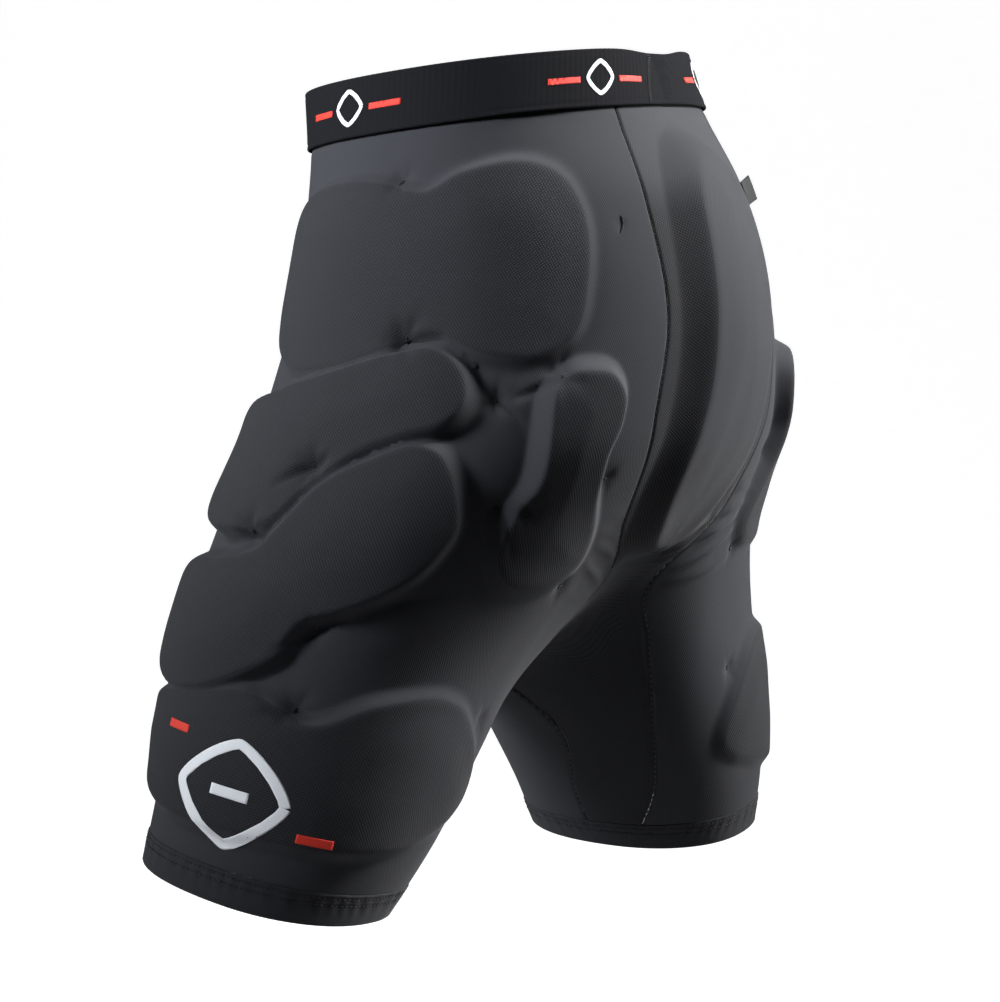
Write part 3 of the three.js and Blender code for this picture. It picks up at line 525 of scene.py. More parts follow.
def closed_sheet(name, outer, thickness, uv, values=None, flip=False, coarse=3):
    """outer is rows by columns of points; both counts are one more than a multiple of coarse."""
    rows, columns = outer.shape[:2]
    normal = grid_normals(outer) * (1 if flip else -1)
    inner = (outer - normal * thickness)[::coarse, ::coarse]
    r, c = inner.shape[:2]
    first = rows * columns
    faces = grid_faces(rows, columns, 0, not flip) + grid_faces(r, c, first, flip)

    def rim(outer_ids, inner_ids, forward):
        for n in range(len(inner_ids) - 1):
            edge = list(outer_ids[n * coarse:(n + 1) * coarse + 1])
            face = edge + [inner_ids[n + 1], inner_ids[n]]
            faces.append(face if forward else face[::-1])

    o = np.arange(first).reshape(rows, columns)
    q = np.arange(r * c).reshape(r, c) + first
    for outer_line, inner_line, forward in (
        (o[0], q[0], flip), (o[-1], q[-1], not flip),
        (o[:, 0], q[:, 0], not flip), (o[:, -1], q[:, -1], flip),
    ):
        rim(outer_line.tolist(), inner_line.tolist(), forward)
    points = np.concatenate([outer.reshape(-1, 3), inner.reshape(-1, 3)])
    uv_all = np.concatenate([uv.reshape(-1, 2), uv[::coarse, ::coarse].reshape(-1, 2)])
    flat = {}
    for key, value in (values or {}).items():
        flat[key] = np.concatenate([value.ravel(), value[::coarse, ::coarse].ravel()])
    return new_mesh(name, points, faces, uv_all, flat)


def spread(count, fine=(0.0, 0.4, 0.9, 1.6, 2.6), length=300.0):
    """Shares from 0 to 1, close together at both ends so that seams and hems stay crisp."""
    edge = np.array(fine) / length
    middle = np.linspace(edge[-1], 1 - edge[-1], count - 2 * (len(fine) - 1))
    return np.concatenate([edge[:-1], middle, 1 - edge[:-1][::-1]])


print("shares near a seam:", spread(31)[:5].round(4))

# %% [markdown]
# ## Finishes
# All the cloth is a dark stretch knit. Over the pads it is pulled tight, so it is coarser there, and
# darker:
# partly the black foam showing through its open dots, partly painted shade for pad tops facing away
# from the lights. The group below makes the knit's dots and ribs from the pattern's coordinates, and
# each material takes its own colours from it.

# %% Knit group
def make_knit_group():
    group = bpy.data.node_groups.new("stretch_knit", "ShaderNodeTree")
    face = group.interface
    face.new_socket("Pad", in_out="INPUT", socket_type="NodeSocketFloat")
    face.new_socket("Pitch", in_out="INPUT", socket_type="NodeSocketFloat").default_value = 0.00125
    face.new_socket("Dark", in_out="INPUT", socket_type="NodeSocketColor")
    face.new_socket("Light", in_out="INPUT", socket_type="NodeSocketColor")
    face.new_socket("Pad Dark", in_out="INPUT", socket_type="NodeSocketColor")
    face.new_socket("Pad Light", in_out="INPUT", socket_type="NodeSocketColor")
    face.new_socket("Color", in_out="OUTPUT", socket_type="NodeSocketColor")
    face.new_socket("Height", in_out="OUTPUT", socket_type="NodeSocketFloat")
    nodes, links = group.nodes, group.links
    inside = nodes.new("NodeGroupInput")
    outside = nodes.new("NodeGroupOutput")
    place = nodes.new("ShaderNodeUVMap")
    place.uv_map = "cloth"
    split = nodes.new("ShaderNodeSeparateXYZ")
    links.new(place.outputs["UV"], split.inputs[0])

    def calc(kind, a, b=None):
        node = nodes.new("ShaderNodeMath")
        node.operation = kind
        for socket, value in zip(node.inputs, (a, b)):
            if value is None:
                continue
            if isinstance(value, (int, float)):
                socket.default_value = value
            else:
                links.new(value, socket)
        return node.outputs[0]

    turns = calc("DIVIDE", 2 * math.pi, inside.outputs["Pitch"])
    u = calc("MULTIPLY", split.outputs[0], turns)
    v = calc("MULTIPLY", split.outputs[1], turns)
    one_way = calc("ADD", calc("MULTIPLY", u, 0.82), calc("MULTIPLY", v, 0.57))
    other_way = calc("SUBTRACT", calc("MULTIPLY", u, 0.57), calc("MULTIPLY", v, 0.82))
    one_wave = calc("ADD", calc("SINE", one_way), 1.0)
    other_wave = calc("ADD", calc("SINE", other_way), 1.0)
    dots = calc("MULTIPLY", calc("MULTIPLY", one_wave, other_wave), 0.25)
    ribs = calc("ADD", calc("MULTIPLY", calc("SINE", calc("MULTIPLY", one_way, 1.25)), 0.5), 0.5)
    ribs = calc("ADD", calc("MULTIPLY", ribs, 0.7), calc("MULTIPLY", dots, 0.3))
    speckle = nodes.new("ShaderNodeTexNoise")
    speckle.inputs["Scale"].default_value = 900.0
    speckle.inputs["Detail"].default_value = 2.0
    links.new(place.outputs["UV"], speckle.inputs["Vector"])
    cloud = nodes.new("ShaderNodeTexNoise")
    cloud.inputs["Scale"].default_value = 26.0
    cloud.inputs["Detail"].default_value = 3.0
    links.new(place.outputs["UV"], cloud.inputs["Vector"])

    def blend(kind, factor, a, b):
        node = nodes.new("ShaderNodeMix")
        node.data_type = kind
        links.new(factor, node.inputs["Factor"])
        index = {"FLOAT": (2, 3, 0), "RGBA": (6, 7, 2)}[kind]
        links.new(a, node.inputs[index[0]])
        links.new(b, node.inputs[index[1]])
        return node.outputs[index[2]]

    pad = inside.outputs["Pad"]
    height = blend("FLOAT", pad, calc("MULTIPLY", ribs, 0.55), dots)
    tone = calc("ADD", calc("MULTIPLY", height, 0.85), calc("MULTIPLY", speckle.outputs[0], 0.15))
    tone = calc("MULTIPLY", tone, calc("ADD", calc("MULTIPLY", cloud.outputs[0], 0.3), 0.85))
    plain = blend("RGBA", tone, inside.outputs["Dark"], inside.outputs["Light"])
    # Over the pads the knit takes the darker pair of tones: partly the foam, partly painted shade.
    over_pad = blend("RGBA", tone, inside.outputs["Pad Dark"], inside.outputs["Pad Light"])
    links.new(blend("RGBA", pad, plain, over_pad), outside.inputs["Color"])
    links.new(calc("ADD", height, calc("MULTIPLY", speckle.outputs[0], 0.12)), outside.inputs["Height"])
    return group


knit_group = make_knit_group()
print("group:", knit_group.name)

# %% [markdown]
# Each cloth material places the group, bumps the surface with its height and keeps a soft sheen, as
# brushed fibres catch light at a low angle. Plain numbers are set straight on the shader's sockets.

# %% Cloth materials
KNIT_BUMP = 0.00012


def grey(value):
    """A cool dark grey."""
    return (value, value * 1.03, value * 1.2, 1.0)


def knit_material(name, dark, light, pad_shade_dark, pad_shade_light, pitch=0.00125, sheen=0.05):
    material = bpy.data.materials.new(name)
    material.use_nodes = True
    nodes, links = material.node_tree.nodes, material.node_tree.links
    shader = nodes["Principled BSDF"]
    shader.inputs["Roughness"].default_value = 0.82
    shader.inputs["Specular IOR Level"].default_value = 3.0 * sheen
    shader.inputs["Sheen Weight"].default_value = sheen
    shader.inputs["Sheen Roughness"].default_value = 0.45
    knit = nodes.new("ShaderNodeGroup")
    knit.node_tree = knit_group
    knit.inputs["Pitch"].default_value = pitch
    tones = {"Dark": dark, "Light": light, "Pad Dark": pad_shade_dark, "Pad Light": pad_shade_light}
    for socket, value in tones.items():
        knit.inputs[socket].default_value = grey(value)
    # The pad mask darkens the knit over the pads, partly for the foam and partly as painted shade.
    cover = nodes.new("ShaderNodeAttribute")
    cover.attribute_name = "pad_shade_depth"
    edge = nodes.new("ShaderNodeMapRange")
    edge.inputs["From Min"].default_value = -0.5
    edge.inputs["From Max"].default_value = 0.5
    links.new(cover.outputs["Fac"], edge.inputs["Value"])
    links.new(edge.outputs[0], knit.inputs["Pad"])
    links.new(knit.outputs["Color"], shader.inputs["Base Color"])
    relief_bump = nodes.new("ShaderNodeBump")
    relief_bump.inputs["Distance"].default_value = KNIT_BUMP
    links.new(knit.outputs["Height"], relief_bump.inputs["Height"])
    links.new(relief_bump.outputs["Normal"], shader.inputs["Normal"])
    return material


def plain_material(name, color, roughness, sheen):
    """Foam, thread, print or paper: one colour with fine flecks."""
    material = bpy.data.materials.new(name)
    material.use_nodes = True
    nodes, links = material.node_tree.nodes, material.node_tree.links
    shader = nodes["Principled BSDF"]
    shader.inputs["Roughness"].default_value = roughness
    shader.inputs["Specular IOR Level"].default_value = 0.2
    shader.inputs["Sheen Weight"].default_value = sheen
    fleck = nodes.new("ShaderNodeTexNoise")
    fleck.inputs["Scale"].default_value = 700.0
    fleck.inputs["Detail"].default_value = 3.0
    ramp = nodes.new("ShaderNodeValToRGB")
    ramp.color_ramp.elements[0].position = 0.3
    ramp.color_ramp.elements[1].position = 0.75
    ramp.color_ramp.elements[0].color = tuple(0.78 * c for c in color) + (1.0,)
    ramp.color_ramp.elements[1].color = tuple(min(1.0, 1.15 * c) for c in color) + (1.0,)
    links.new(fleck.outputs[0], ramp.inputs[0])
    links.new(ramp.outputs[0], shader.inputs["Base Color"])
    bump = nodes.new("ShaderNodeBump")
    bump.inputs["Distance"].default_value = 0.0001
    links.new(fleck.outputs[0], bump.inputs["Height"])
    links.new(bump.outputs["Normal"], shader.inputs["Normal"])
    return material


# The last two tones of each knit are its darker tones over the pads: foam and painted shade.
leg_knit = knit_material("leg_knit", 0.018, 0.042, 0.009, 0.036)
centre_knit = knit_material("centre_knit", 0.019, 0.044, 0.007, 0.030)
gusset_knit = knit_material("gusset_knit", 0.012, 0.030, 0.008, 0.030)
hem_knit = knit_material("hem_knit", 0.014, 0.034, 0.008, 0.030, pitch=0.0011)
waist_elastic = knit_material("waist_elastic", 0.006, 0.014, 0.004, 0.010, pitch=0.0010, sheen=0.008)
pad_foam = plain_material("pad_foam", (0.020, 0.021, 0.023), 0.95, 0.1)
black_thread = plain_material("black_thread", (0.006, 0.006, 0.007), 0.6, 0.1)
grey_thread = plain_material("grey_thread", (0.075, 0.077, 0.085), 0.6, 0.1)
white_print = plain_material("white_print", (0.78, 0.79, 0.82), 0.55, 0.0)
red_print = plain_material("red_print", (0.62, 0.035, 0.02), 0.55, 0.0)
tab_weave = plain_material("tab_weave", (0.004, 0.004, 0.0045), 0.7, 0.0)
print("materials:", len(bpy.data.materials))


def dress(piece, material, slot_name, *nodes):
    """Gives a piece its material and its body, and hides the CAD nodes it replaces. The slot name is
    not used.
    """
    piece.data.materials.append(material)
    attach(piece, "root")
    if nodes:
        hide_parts(*nodes)
    return piece


# %% [markdown]
# ## Leg panels
# Each leg panel is one piece of knit from the front seam, round the side, to the back seam, and
# from under the waistband to the hem. It could be sculpted, but its edges have to meet the seams
# of the other panels, so it is a grid in the pattern's own reach and drop. It is the main visible
# surface, so the grid is fine, and finest beside the seams.

# %% Leg panels
GAP = 0.3
SEAM_GAP = 0.08
CLOTH = 1.2
BAND_HALF = 16.0
TUCK_DROP = 10.0
HEM_DROP = 419.0
COVER_LIMIT = 6.0
LEG_ROWS = 250
LEG_COLUMNS = 271
SIDES = {"left": 1, "right": -1}


def cover_of(dark):
    """Depth in mm into the darker tone: foam and painted shade. The shader turns it into a sharp edge.
    """
    return np.clip(dark, -COVER_LIMIT, COVER_LIMIT)


def under_band(drop):
    """The cloth is pressed in a little where the waistband holds it."""
    return -0.5 * ease((BAND_HALF + 3.0 - drop) / 3.0)


def make_leg_panel(name, side):
    shares = spread(LEG_ROWS, length=HEM_DROP - TUCK_DROP)
    drops = mix(TUCK_DROP, HEM_DROP - SEAM_GAP / 2, shares)[:, None]
    row = body_row(drops)
    across = spread(LEG_COLUMNS, length=360.0)[None, :]
    reach = mix(SEAM_GAP / 2 - row["front_seam"], row["back_seam"] - SEAM_GAP / 2, across)
    drops = drops + 0 * reach
    angle = angle_at(drops, reach)
    x = body_point(drops, angle)[..., 0]
    height, dark = relief(side, drops, reach, x, np.sin(angle) > 0)
    height = height + seam_dip(reach + row["front_seam"]) + seam_dip(row["back_seam"] - reach)
    height = height + under_band(drops)
    outer = surface(side, drops, angle, height)
    uv = np.stack([reach * side, -drops], -1)
    panel = closed_sheet(name, outer, CLOTH, uv, {"pad_shade_depth": cover_of(dark)}, flip=side > 0)
    print(name, "vertices:", len(panel.data.vertices))
    return panel


for side_name, side in SIDES.items():
    panel = make_leg_panel(f"{side_name}_leg_cloth", side)
    dress(panel, leg_knit, "leg_knit", f"{side_name}_leg_panel")

# %% [markdown]
# ## Centre panels
# A panel between the two back seams carries the tailbone pad, and a plainer one closes the front.
# They could be cut from the leg panels' grid, but they cross the centre plane, where reach has no
# meaning. So their columns are shares of the distance from the centre plane to the seam.

# %% Centre panels
# Painted shade beside the tailbone pad starts this far down, with a soft top this tall.
TAIL_SHADE_FROM_DROP = 62.0
TAIL_SHADE_FADE = 18.0


def seam_angle(drop, back, inset):
    """The angle of a long seam, or of a line a little inside it."""
    row = body_row(drop)
    return angle_at(drop, row["back_seam"] + inset if back else -row["front_seam"] - inset)


def make_centre_panel(name, back, rows, columns):
    tip = BACK_TIP if back else FRONT_TIP
    drops = mix(TUCK_DROP, tip - SEAM_GAP / 2, spread(rows, length=240.0))
    edge = body_point(drops, seam_angle(drops, back, SEAM_GAP / 2))[:, 0]
    share = spread(columns, length=120.0) * 2 - 1
    x = edge[:, None] * share[None, :]
    drops = drops[:, None] + 0 * x
    angle = angle_at_x(drops, np.abs(x), back)
    side = np.where(x < 0, -1.0, 1.0)
    reach = np.where(back, 1.0, -1.0) * FAR_REACH + 0 * x
    seam = body_row(drops)["back_seam" if back else "front_seam"]
    near = np.abs(edge[:, None] - np.abs(x))
    fold_reach = seam + near if back else reach
    height, dark = relief(side, drops, fold_reach, np.abs(x), back)
    height = height + seam_dip(near) + under_band(drops)
    if back:
        # Painted shade: the cloth beside the tailbone pad is tinted dark like the pads, for the pad's
        # shaded side.
        tail_shade_depth = -depth_inside(tailbone_outline, x, drops)
        dark = np.maximum(dark, np.minimum(tail_shade_depth, (drops - TAIL_SHADE_FROM_DROP) / TAIL_SHADE_FADE))
    mirrored = body_point(drops, angle) + body_normal(drops, angle) * height[..., None]
    mirrored[..., 0] *= side
    points = stand(mirrored)
    uv = np.stack([x, -drops], -1)
    return closed_sheet(name, points, CLOTH, uv, {"pad_shade_depth": cover_of(dark)}, flip=not back)


back_panel = make_centre_panel("back_centre_cloth", True, 160, 100)
dress(back_panel, centre_knit, "centre_knit", "back_centre_panel")
front_panel = make_centre_panel("front_centre_cloth", False, 160, 70)
dress(front_panel, centre_knit, "centre_knit", "front_centre_panel")
print("centre panels:", len(back_panel.data.vertices), len(front_panel.data.vertices))

# %% [markdown]
# ## Crotch gusset
# One piece of knit runs from the left hem, up the inner thigh, over the crotch and down to the right
# hem. It could be two pieces with a seam between the legs, but the real one has none there, so one
# grid crosses the centre plane. Its columns go from the back seam to the front seam through the
# inner thigh, and a few rows at the top bridge from one leg to the other.

# %% Gusset
CROTCH_HALF_WIDTH = 18.0
CROTCH_DIP = 8.0
CROTCH_CURVE = 40.0
BACK_END_SHARE = 0.12
FRONT_END_SHARE = 0.06
GUSSET_WIDTH = 70.0
GUSSET_DIP_WIDTH = 60.0
HALVINGS = 32


def gusset_angle(drop, across):
    """The angle a share of the way from the back seam to the front seam."""
    back = seam_angle(drop, True, SEAM_GAP / 2)
    front = seam_angle(drop, False, SEAM_GAP / 2) + 2 * np.pi
    return mix(back, front, across)


def drop_at_x(angle_of, target):
    """The drop where a line on the leg is a given distance from the centre plane."""
    high, low = 0.5 * OUTSEAM, 0.9 * OUTSEAM
    for _ in range(HALVINGS):
        middle = np.array((high + low) / 2)
        if body_point(middle, angle_of(middle))[0] > target:
            low = float(middle)
        else:
            high = float(middle)
    return (high + low) / 2


def gusset_start(across, bottom, back_x, front_x):
    """Drop of the first row on the leg, and drop and angle of the row on the centre plane."""
    back, front = BACK_TIP + SEAM_GAP / 2, FRONT_TIP + SEAM_GAP / 2
    from_end = 1 - abs(1 - 2 * across)
    target = mix(mix(back_x, front_x, across), CROTCH_HALF_WIDTH, from_end)
    first = drop_at_x(lambda drop: gusset_angle(drop, across), target)
    near_end = float(ease(min(across / BACK_END_SHARE, (1 - across) / FRONT_END_SHARE)))
    first = mix(back if across < 0.5 else front, first, near_end)
    highest = bottom - CROTCH_CURVE * (1 - from_end) ** 2
    middle = min(highest, first - CROTCH_DIP * from_end)
    if across == 0.5:
        return first, bottom, np.pi
    angle = float(angle_at_x(np.array(middle), np.array(0.0), across < 0.5))
    return first, middle, angle if across < 0.5 else angle + 2 * np.pi


def make_gusset(name, columns=61, rows=100, bridge=9):
    back, front = BACK_TIP + SEAM_GAP / 2, FRONT_TIP + SEAM_GAP / 2
    hem = HEM_DROP - SEAM_GAP / 2
    bottom = drop_at_x(lambda drop: np.array(np.pi), 0.0)
    back_x = float(body_point(np.array(back), seam_angle(np.array(back), True, 0))[0])
    front_x = float(body_point(np.array(front), seam_angle(np.array(front), False, 0))[0])
    shares = spread(columns, length=GUSSET_WIDTH)
    columns_left = []
    for across in shares:
        first, middle, middle_angle = gusset_start(across, bottom, back_x, front_x)
        first_angle = float(gusset_angle(np.array(first), across))
        t = np.linspace(0, 1, bridge, endpoint=False)
        low = mix(first, hem, np.linspace(0, 1, rows))
        drops = np.concatenate([mix(middle, first, t), low])
        angles = np.concatenate([mix(middle_angle, first_angle, t), gusset_angle(low, across)])
        columns_left.append((drops, angles))
    drops = np.stack([c[0] for c in columns_left], 1)
    angle = np.stack([c[1] for c in columns_left], 1)
    edge = np.minimum(shares, 1 - shares)[None, :] * GUSSET_DIP_WIDTH
    height = seam_dip(edge) + 0 * drops
    left, right = surface(1, drops, angle, height), surface(-1, drops, angle, height)
    points = np.concatenate([left[::-1], right[1:]])
    wide = (shares[None, :] - 0.5) * GUSSET_WIDTH + 0 * drops
    run = np.concatenate([-drops[::-1], drops[1:] - 2 * drops[0]])
    uv = np.stack([np.concatenate([wide[::-1], wide[1:]]), run], -1)
    cover = np.full(points.shape[:2], -COVER_LIMIT)
    return closed_sheet(name, points, CLOTH, uv, {"pad_shade_depth": cover})


gusset = make_gusset("gusset_cloth")
dress(gusset, gusset_knit, "gusset_knit", "crotch_gusset")
print("gusset vertices:", len(gusset.data.vertices))

# %% [markdown]
# ## Bands and hems
# The waistband and the hems are rings with a rounded profile. A profile is a closed loop of points,
# each a height over the body and a drop, and the ring carries it round the leg or the waist. A
# curve with a bevel could do this too, but it can't follow a girth that changes with the drop.

# %% Rings
BAND_LIFT = GAP + 1.9
SAG_REACH = 172.0
SAG_WIDTH = 26.0
SAG_DEPTH = 3.6
RIB_PITCH = 3.4


def make_ring(name, profile, kind, side, count, wave):
    """A closed band round the waist or a leg, from a profile of heights and drops."""
    heights = np.array([p[0] for p in profile])[:, None]
    drops = np.array([p[1] for p in profile])[:, None]
    turn = np.arange(count)[None, :] / count
    if kind == "waist":
        sides = np.where(turn < 0.5, 1.0, -1.0)
        share = np.where(turn < 0.5, 2 * turn, 2 - 2 * turn)
        table = reach_rows(drops[:, 0])
        front = angle_at_x(drops, 0 * drops, False)
        back = angle_at_x(drops, 0 * drops, True)
        to_reach = np.array([
            np.interp([front[i, 0], back[i, 0]], ring_angles, table[i]) for i in range(len(drops))
        ])
        reach = mix(to_reach[:, :1], to_reach[:, 1:], share)
        around = reach * sides
    else:
        sides = np.full(turn.shape, float(side))
        reach = (turn - 0.5) * girth(drops[:, 0])[:, None]
        around = reach
    drops = drops + 0 * reach
    if kind == "waist":
        drops = drops + top_sag(reach, drops)
    angle = angle_at(drops, reach)
    height = heights + 0 * reach + wave(around, drops, heights)
    point = body_point(drops, angle) + body_normal(drops, angle) * height[..., None]
    point[..., 0] *= sides
    point = stand(point)
    rows = len(profile)
    faces = grid_faces(rows + 1, count, 0, side < 0, ring=True)
    faces = [[n % (rows * count) for n in face] for face in faces]
    uv = np.stack([around, -drops + 0.35 * height], -1)
    values = {"pad_shade_depth": np.full(point.shape[:2], -COVER_LIMIT)}
    return new_mesh(name, point.reshape(-1, 3), faces, uv.reshape(-1, 2), values)


def loop_profile(outer, inner, top, bottom, steps, dips=()):
    """Down the outer face, round the bottom edge, up the inner face and round the top edge."""
    soft = 0.8
    down = np.linspace(top + soft, bottom - soft, steps)
    profile = [(outer - sum(d * np.exp(-((v - at) / w) ** 2) for at, d, w in dips), v) for v in down]
    middle = (outer + inner) / 2
    profile += [(outer - 0.35, bottom - 0.15), (middle, bottom), (inner + 0.35, bottom - 0.15)]
    profile += [(inner, v) for v in np.linspace(bottom - soft, top + soft, max(4, steps // 4))]
    profile += [(inner + 0.35, top + 0.15), (middle, top), (outer - 0.35, top + 0.15)]
    return profile


def top_sag(reach, drop):
    """The elastic's top edge hangs a little lower at the back of each side."""
    from_bottom = np.clip((BAND_HALF - drop) / (2 * BAND_HALF), 0, 1)
    return SAG_DEPTH * np.exp(-(((reach - SAG_REACH) / SAG_WIDTH) ** 2)) * from_bottom


def band_wave(around, drops, heights):
    """Fine ribs on the outer face, and a slight waviness of the whole band."""
    outer = heights > 1.2
    rib = 0.10 * np.sin(around * 2 * np.pi / RIB_PITCH)
    slack = 0.35 * np.sin(around / 26.0) * ease((8 - np.abs(drops)) / 16.0)
    return np.where(outer, rib, 0.0) + slack * 0.5


band_dips = ((13.0, 0.30, 0.7), (-13.6, 0.18, 0.7))
band_profile = loop_profile(BAND_LIFT, GAP, -BAND_HALF, BAND_HALF, 34, dips=band_dips)
waistband = make_ring("waistband_elastic", band_profile, "waist", 1, 720, band_wave)
dress(waistband, waist_elastic, "waist_elastic", "waistband")
print("waistband vertices:", len(waistband.data.vertices))

# %% [markdown]
# The end of each leg is turned up and held by two rows of stitches, which pull it in and pucker it.
# The turned edge could be a folded sheet, but only its outside shows, so it is a ring like the
# waistband, with a dip under each row.

# %% Hems
HEM_LINES = (421.5, 425.0)
HEM_OUTER = 0.5
HEM_INNER = -1.7


def hem_wave(around, drops, heights):
    """Uneven puckers beside the two rows of stitches."""
    pucker = 0.22 * np.sin(around * 2 * np.pi / 9.0 + np.sin(around / 11.0) * 2)
    near_stitch = np.exp(-(((drops - 424.0) / 6.0) ** 2))
    return pucker * near_stitch * np.where(heights > -0.4, 1.0, 0.4)


hem_top = HEM_DROP + SEAM_GAP / 2
hem_dips = tuple((line, 0.35, 0.6) for line in HEM_LINES)
hem_profile = loop_profile(HEM_OUTER, HEM_INNER, hem_top, OUTSEAM, 30, dips=hem_dips)
for side_name, side in SIDES.items():
    hem = make_ring(f"{side_name}_hem_cloth", hem_profile, "leg", side, 420, hem_wave)
    dress(hem, hem_knit, "hem_knit", f"{side_name}_hem")
    print(hem.name, "vertices:", len(hem.data.vertices))

# %% [markdown]
# ## Foam pads
# Each pad is a slab of soft foam with a rounded edge, between the knit and the wearer. It could be a
# flat slab bent onto the leg, but a bend would thin it unevenly, so it is made in place. Its front
# follows the bulge of the cloth and its back follows the body, and rings of points run in from its
# outline to its middle.

# %% Pads
PAD_BACK = 2.3
PAD_FRONT_GAP = 0.5
PAD_LEAST = 0.8
PAD_ROUND_SHARE = 0.12
FRONT_ROUND = 1.2
BACK_ROUND = 0.9


def make_pad(name, pad, side, over_back=False, spokes=96, rings=22):
    """A closed slab of foam under the cloth, from rings of points inside the pad's outline."""
    rim = smooth_outline(pad, 5)
    turn = np.arange(spokes) / spokes * len(rim)
    k = turn.astype(int)
    rim = mix(rim[k % len(rim)], rim[(k + 1) % len(rim)], (turn - k)[:, None])
    share = np.linspace(0.03, 0.985, rings)[:, None, None] ** 0.8
    places = np.array(pad[0]) + (rim[None] - np.array(pad[0])) * share
    first, drops = places[..., 0], places[..., 1]
    if over_back:
        angle = angle_at_x(drops, np.abs(first), True)
        sides = np.where(first < 0, -1.0, 1.0)
        reach, x = 0 * first + FAR_REACH, np.abs(first)
        height, _ = relief(sides, drops, reach, x, True)
    else:
        angle = angle_at(drops, first)
        sides = np.full(first.shape, float(side))
        x = body_point(drops, angle)[..., 0]
        height, _ = relief(side, drops, first, x, np.sin(angle) > 0)
    front_height = np.maximum(height - CLOTH - GAP - PAD_FRONT_GAP, -PAD_BACK + PAD_LEAST)
    back_height = -PAD_BACK + 0 * front_height
    edge = 1 - ease((1 - share[..., 0]) / PAD_ROUND_SHARE)
    layers = []
    for level in (front_height - FRONT_ROUND * edge, back_height + BACK_ROUND * edge):
        point = body_point(drops, angle) + body_normal(drops, angle) * level[..., None]
        point[..., 0] *= sides
        layers.append(stand(point))
    top, bottom = layers
    middles = [top[:1].mean(1), bottom[:1].mean(1)]
    points = np.concatenate([top.reshape(-1, 3), bottom.reshape(-1, 3), *middles])
    size = rings * spokes
    faces = grid_faces(rings, spokes, 0, False, ring=True)
    faces += grid_faces(rings, spokes, size, True, ring=True)
    last = (rings - 1) * spokes
    for j in range(spokes):
        n = (j + 1) % spokes
        faces.append([last + j, size + last + j, size + last + n, last + n])
        faces.append([j, n, 2 * size])
        faces.append([size + n, size + j, 2 * size + 1])
    uv = np.concatenate([places.reshape(-1, 2), places.reshape(-1, 2), [pad[0]], [pad[0]]])
    piece = new_mesh(name, points, faces, uv)
    piece.data.validate()
    return piece


def face_outward(piece):
    """Turns a closed piece's faces outward."""
    mesh = bmesh.new()
    mesh.from_mesh(piece.data)
    bmesh.ops.recalc_face_normals(mesh, faces=mesh.faces)
    mesh.to_mesh(piece.data)
    mesh.free()


for side_name, side in SIDES.items():
    for pad_name, pad in SIDE_PADS.items():
        piece = make_pad(f"{side_name}_{pad_name}_foam", pad, side)
        face_outward(piece)
        dress(piece, pad_foam, "pad_foam", f"{side_name}_{pad_name}")
tail_piece = make_pad("tailbone_pad_foam", TAILBONE_PAD, 1, over_back=True)
face_outward(tail_piece)
dress(tail_piece, pad_foam, "pad_foam", "tailbone_pad")
print("tailbone pad vertices:", len(tail_piece.data.vertices))

# %% [markdown]
# ## Stitches and small pieces
# Seams are sewn with thread, and thread is a thin tube, so each row of stitches is one piece made of
# many short tubes that lie on the cloth. They could be snapped to the finished mesh, but the relief
# function already knows the height at every place, so it puts them there exactly.

# %% Places on the cloth
def on_leg(side, reach, drop, lift):
    """Points a little over the outer face of a leg panel."""
    reach, drop = np.broadcast_arrays(np.asarray(reach, float), np.asarray(drop, float))
    angle = angle_at(drop, reach)
    row = body_row(drop)
    x = body_point(drop, angle)[..., 0]
    height, _ = relief(side, drop, reach, x, np.sin(angle) > 0)
    height = height + seam_dip(reach + row["front_seam"]) + seam_dip(row["back_seam"] - reach)
    return surface(side, drop, angle, height + under_band(drop) + lift)


def on_ring(side, reach, drop, lift, wave, outer):
    """Points a little over the outer face of the waistband or of a hem."""
    reach, drop = np.broadcast_arrays(np.asarray(reach, float), np.asarray(drop, float))
    height = outer + wave(reach * side, drop, outer + 0 * drop) + lift
    return surface(side, drop, angle_at(drop, reach), height)


def thread_mesh(name, paths, radius, sides=5):
    """One piece of many short tubes with closed, narrowed ends, one tube for each path."""
    points, faces, uv = [], [], []
    turn = np.arange(sides) * 2 * np.pi / sides
    for path in paths:
        path = np.asarray(path, float)
        along = np.gradient(path, axis=0)
        along /= np.linalg.norm(along, axis=1, keepdims=True)
        guide = np.where(np.abs(along[:, 2:]) > 0.8, [[1.0, 0.2, 0.0]], [[0.0, 0.0, 1.0]])
        across = np.cross(along, guide)
        across /= np.linalg.norm(across, axis=1, keepdims=True)
        rise = np.cross(across, along)
        width = np.full(len(path), radius)
        width[[0, -1]] *= 0.55
        ring = across[:, None] * np.cos(turn)[:, None] + rise[:, None] * np.sin(turn)[:, None]
        first = sum(len(block) for block in points)
        points.append((path[:, None] + ring * width[:, None, None]).reshape(-1, 3))
        faces += grid_faces(len(path), sides, first, False, ring=True)
        last = first + (len(path) - 1) * sides
        faces.append(list(range(first, first + sides)))
        faces.append(list(range(last, last + sides))[::-1])
        round_it = np.arange(sides)[None, :] * radius
        down_it = np.arange(len(path))[:, None] * 1.0
        uv.append(np.stack(np.broadcast_arrays(round_it, down_it), -1).reshape(-1, 2))
    piece = new_mesh(name, np.concatenate(points), faces, np.concatenate(uv))
    face_outward(piece)
    return piece


def stitches(place, start, stop, length, pitch, steps=3):
    """Short paths along a line. The function place gives the point at each distance."""
    count = int((stop - start) / pitch)
    return [place(start + k * pitch + np.linspace(0, length, steps)) for k in range(count)]


print("a place on the left hip:", on_leg(1, 15.0, 92.0, 0.0).round(1))

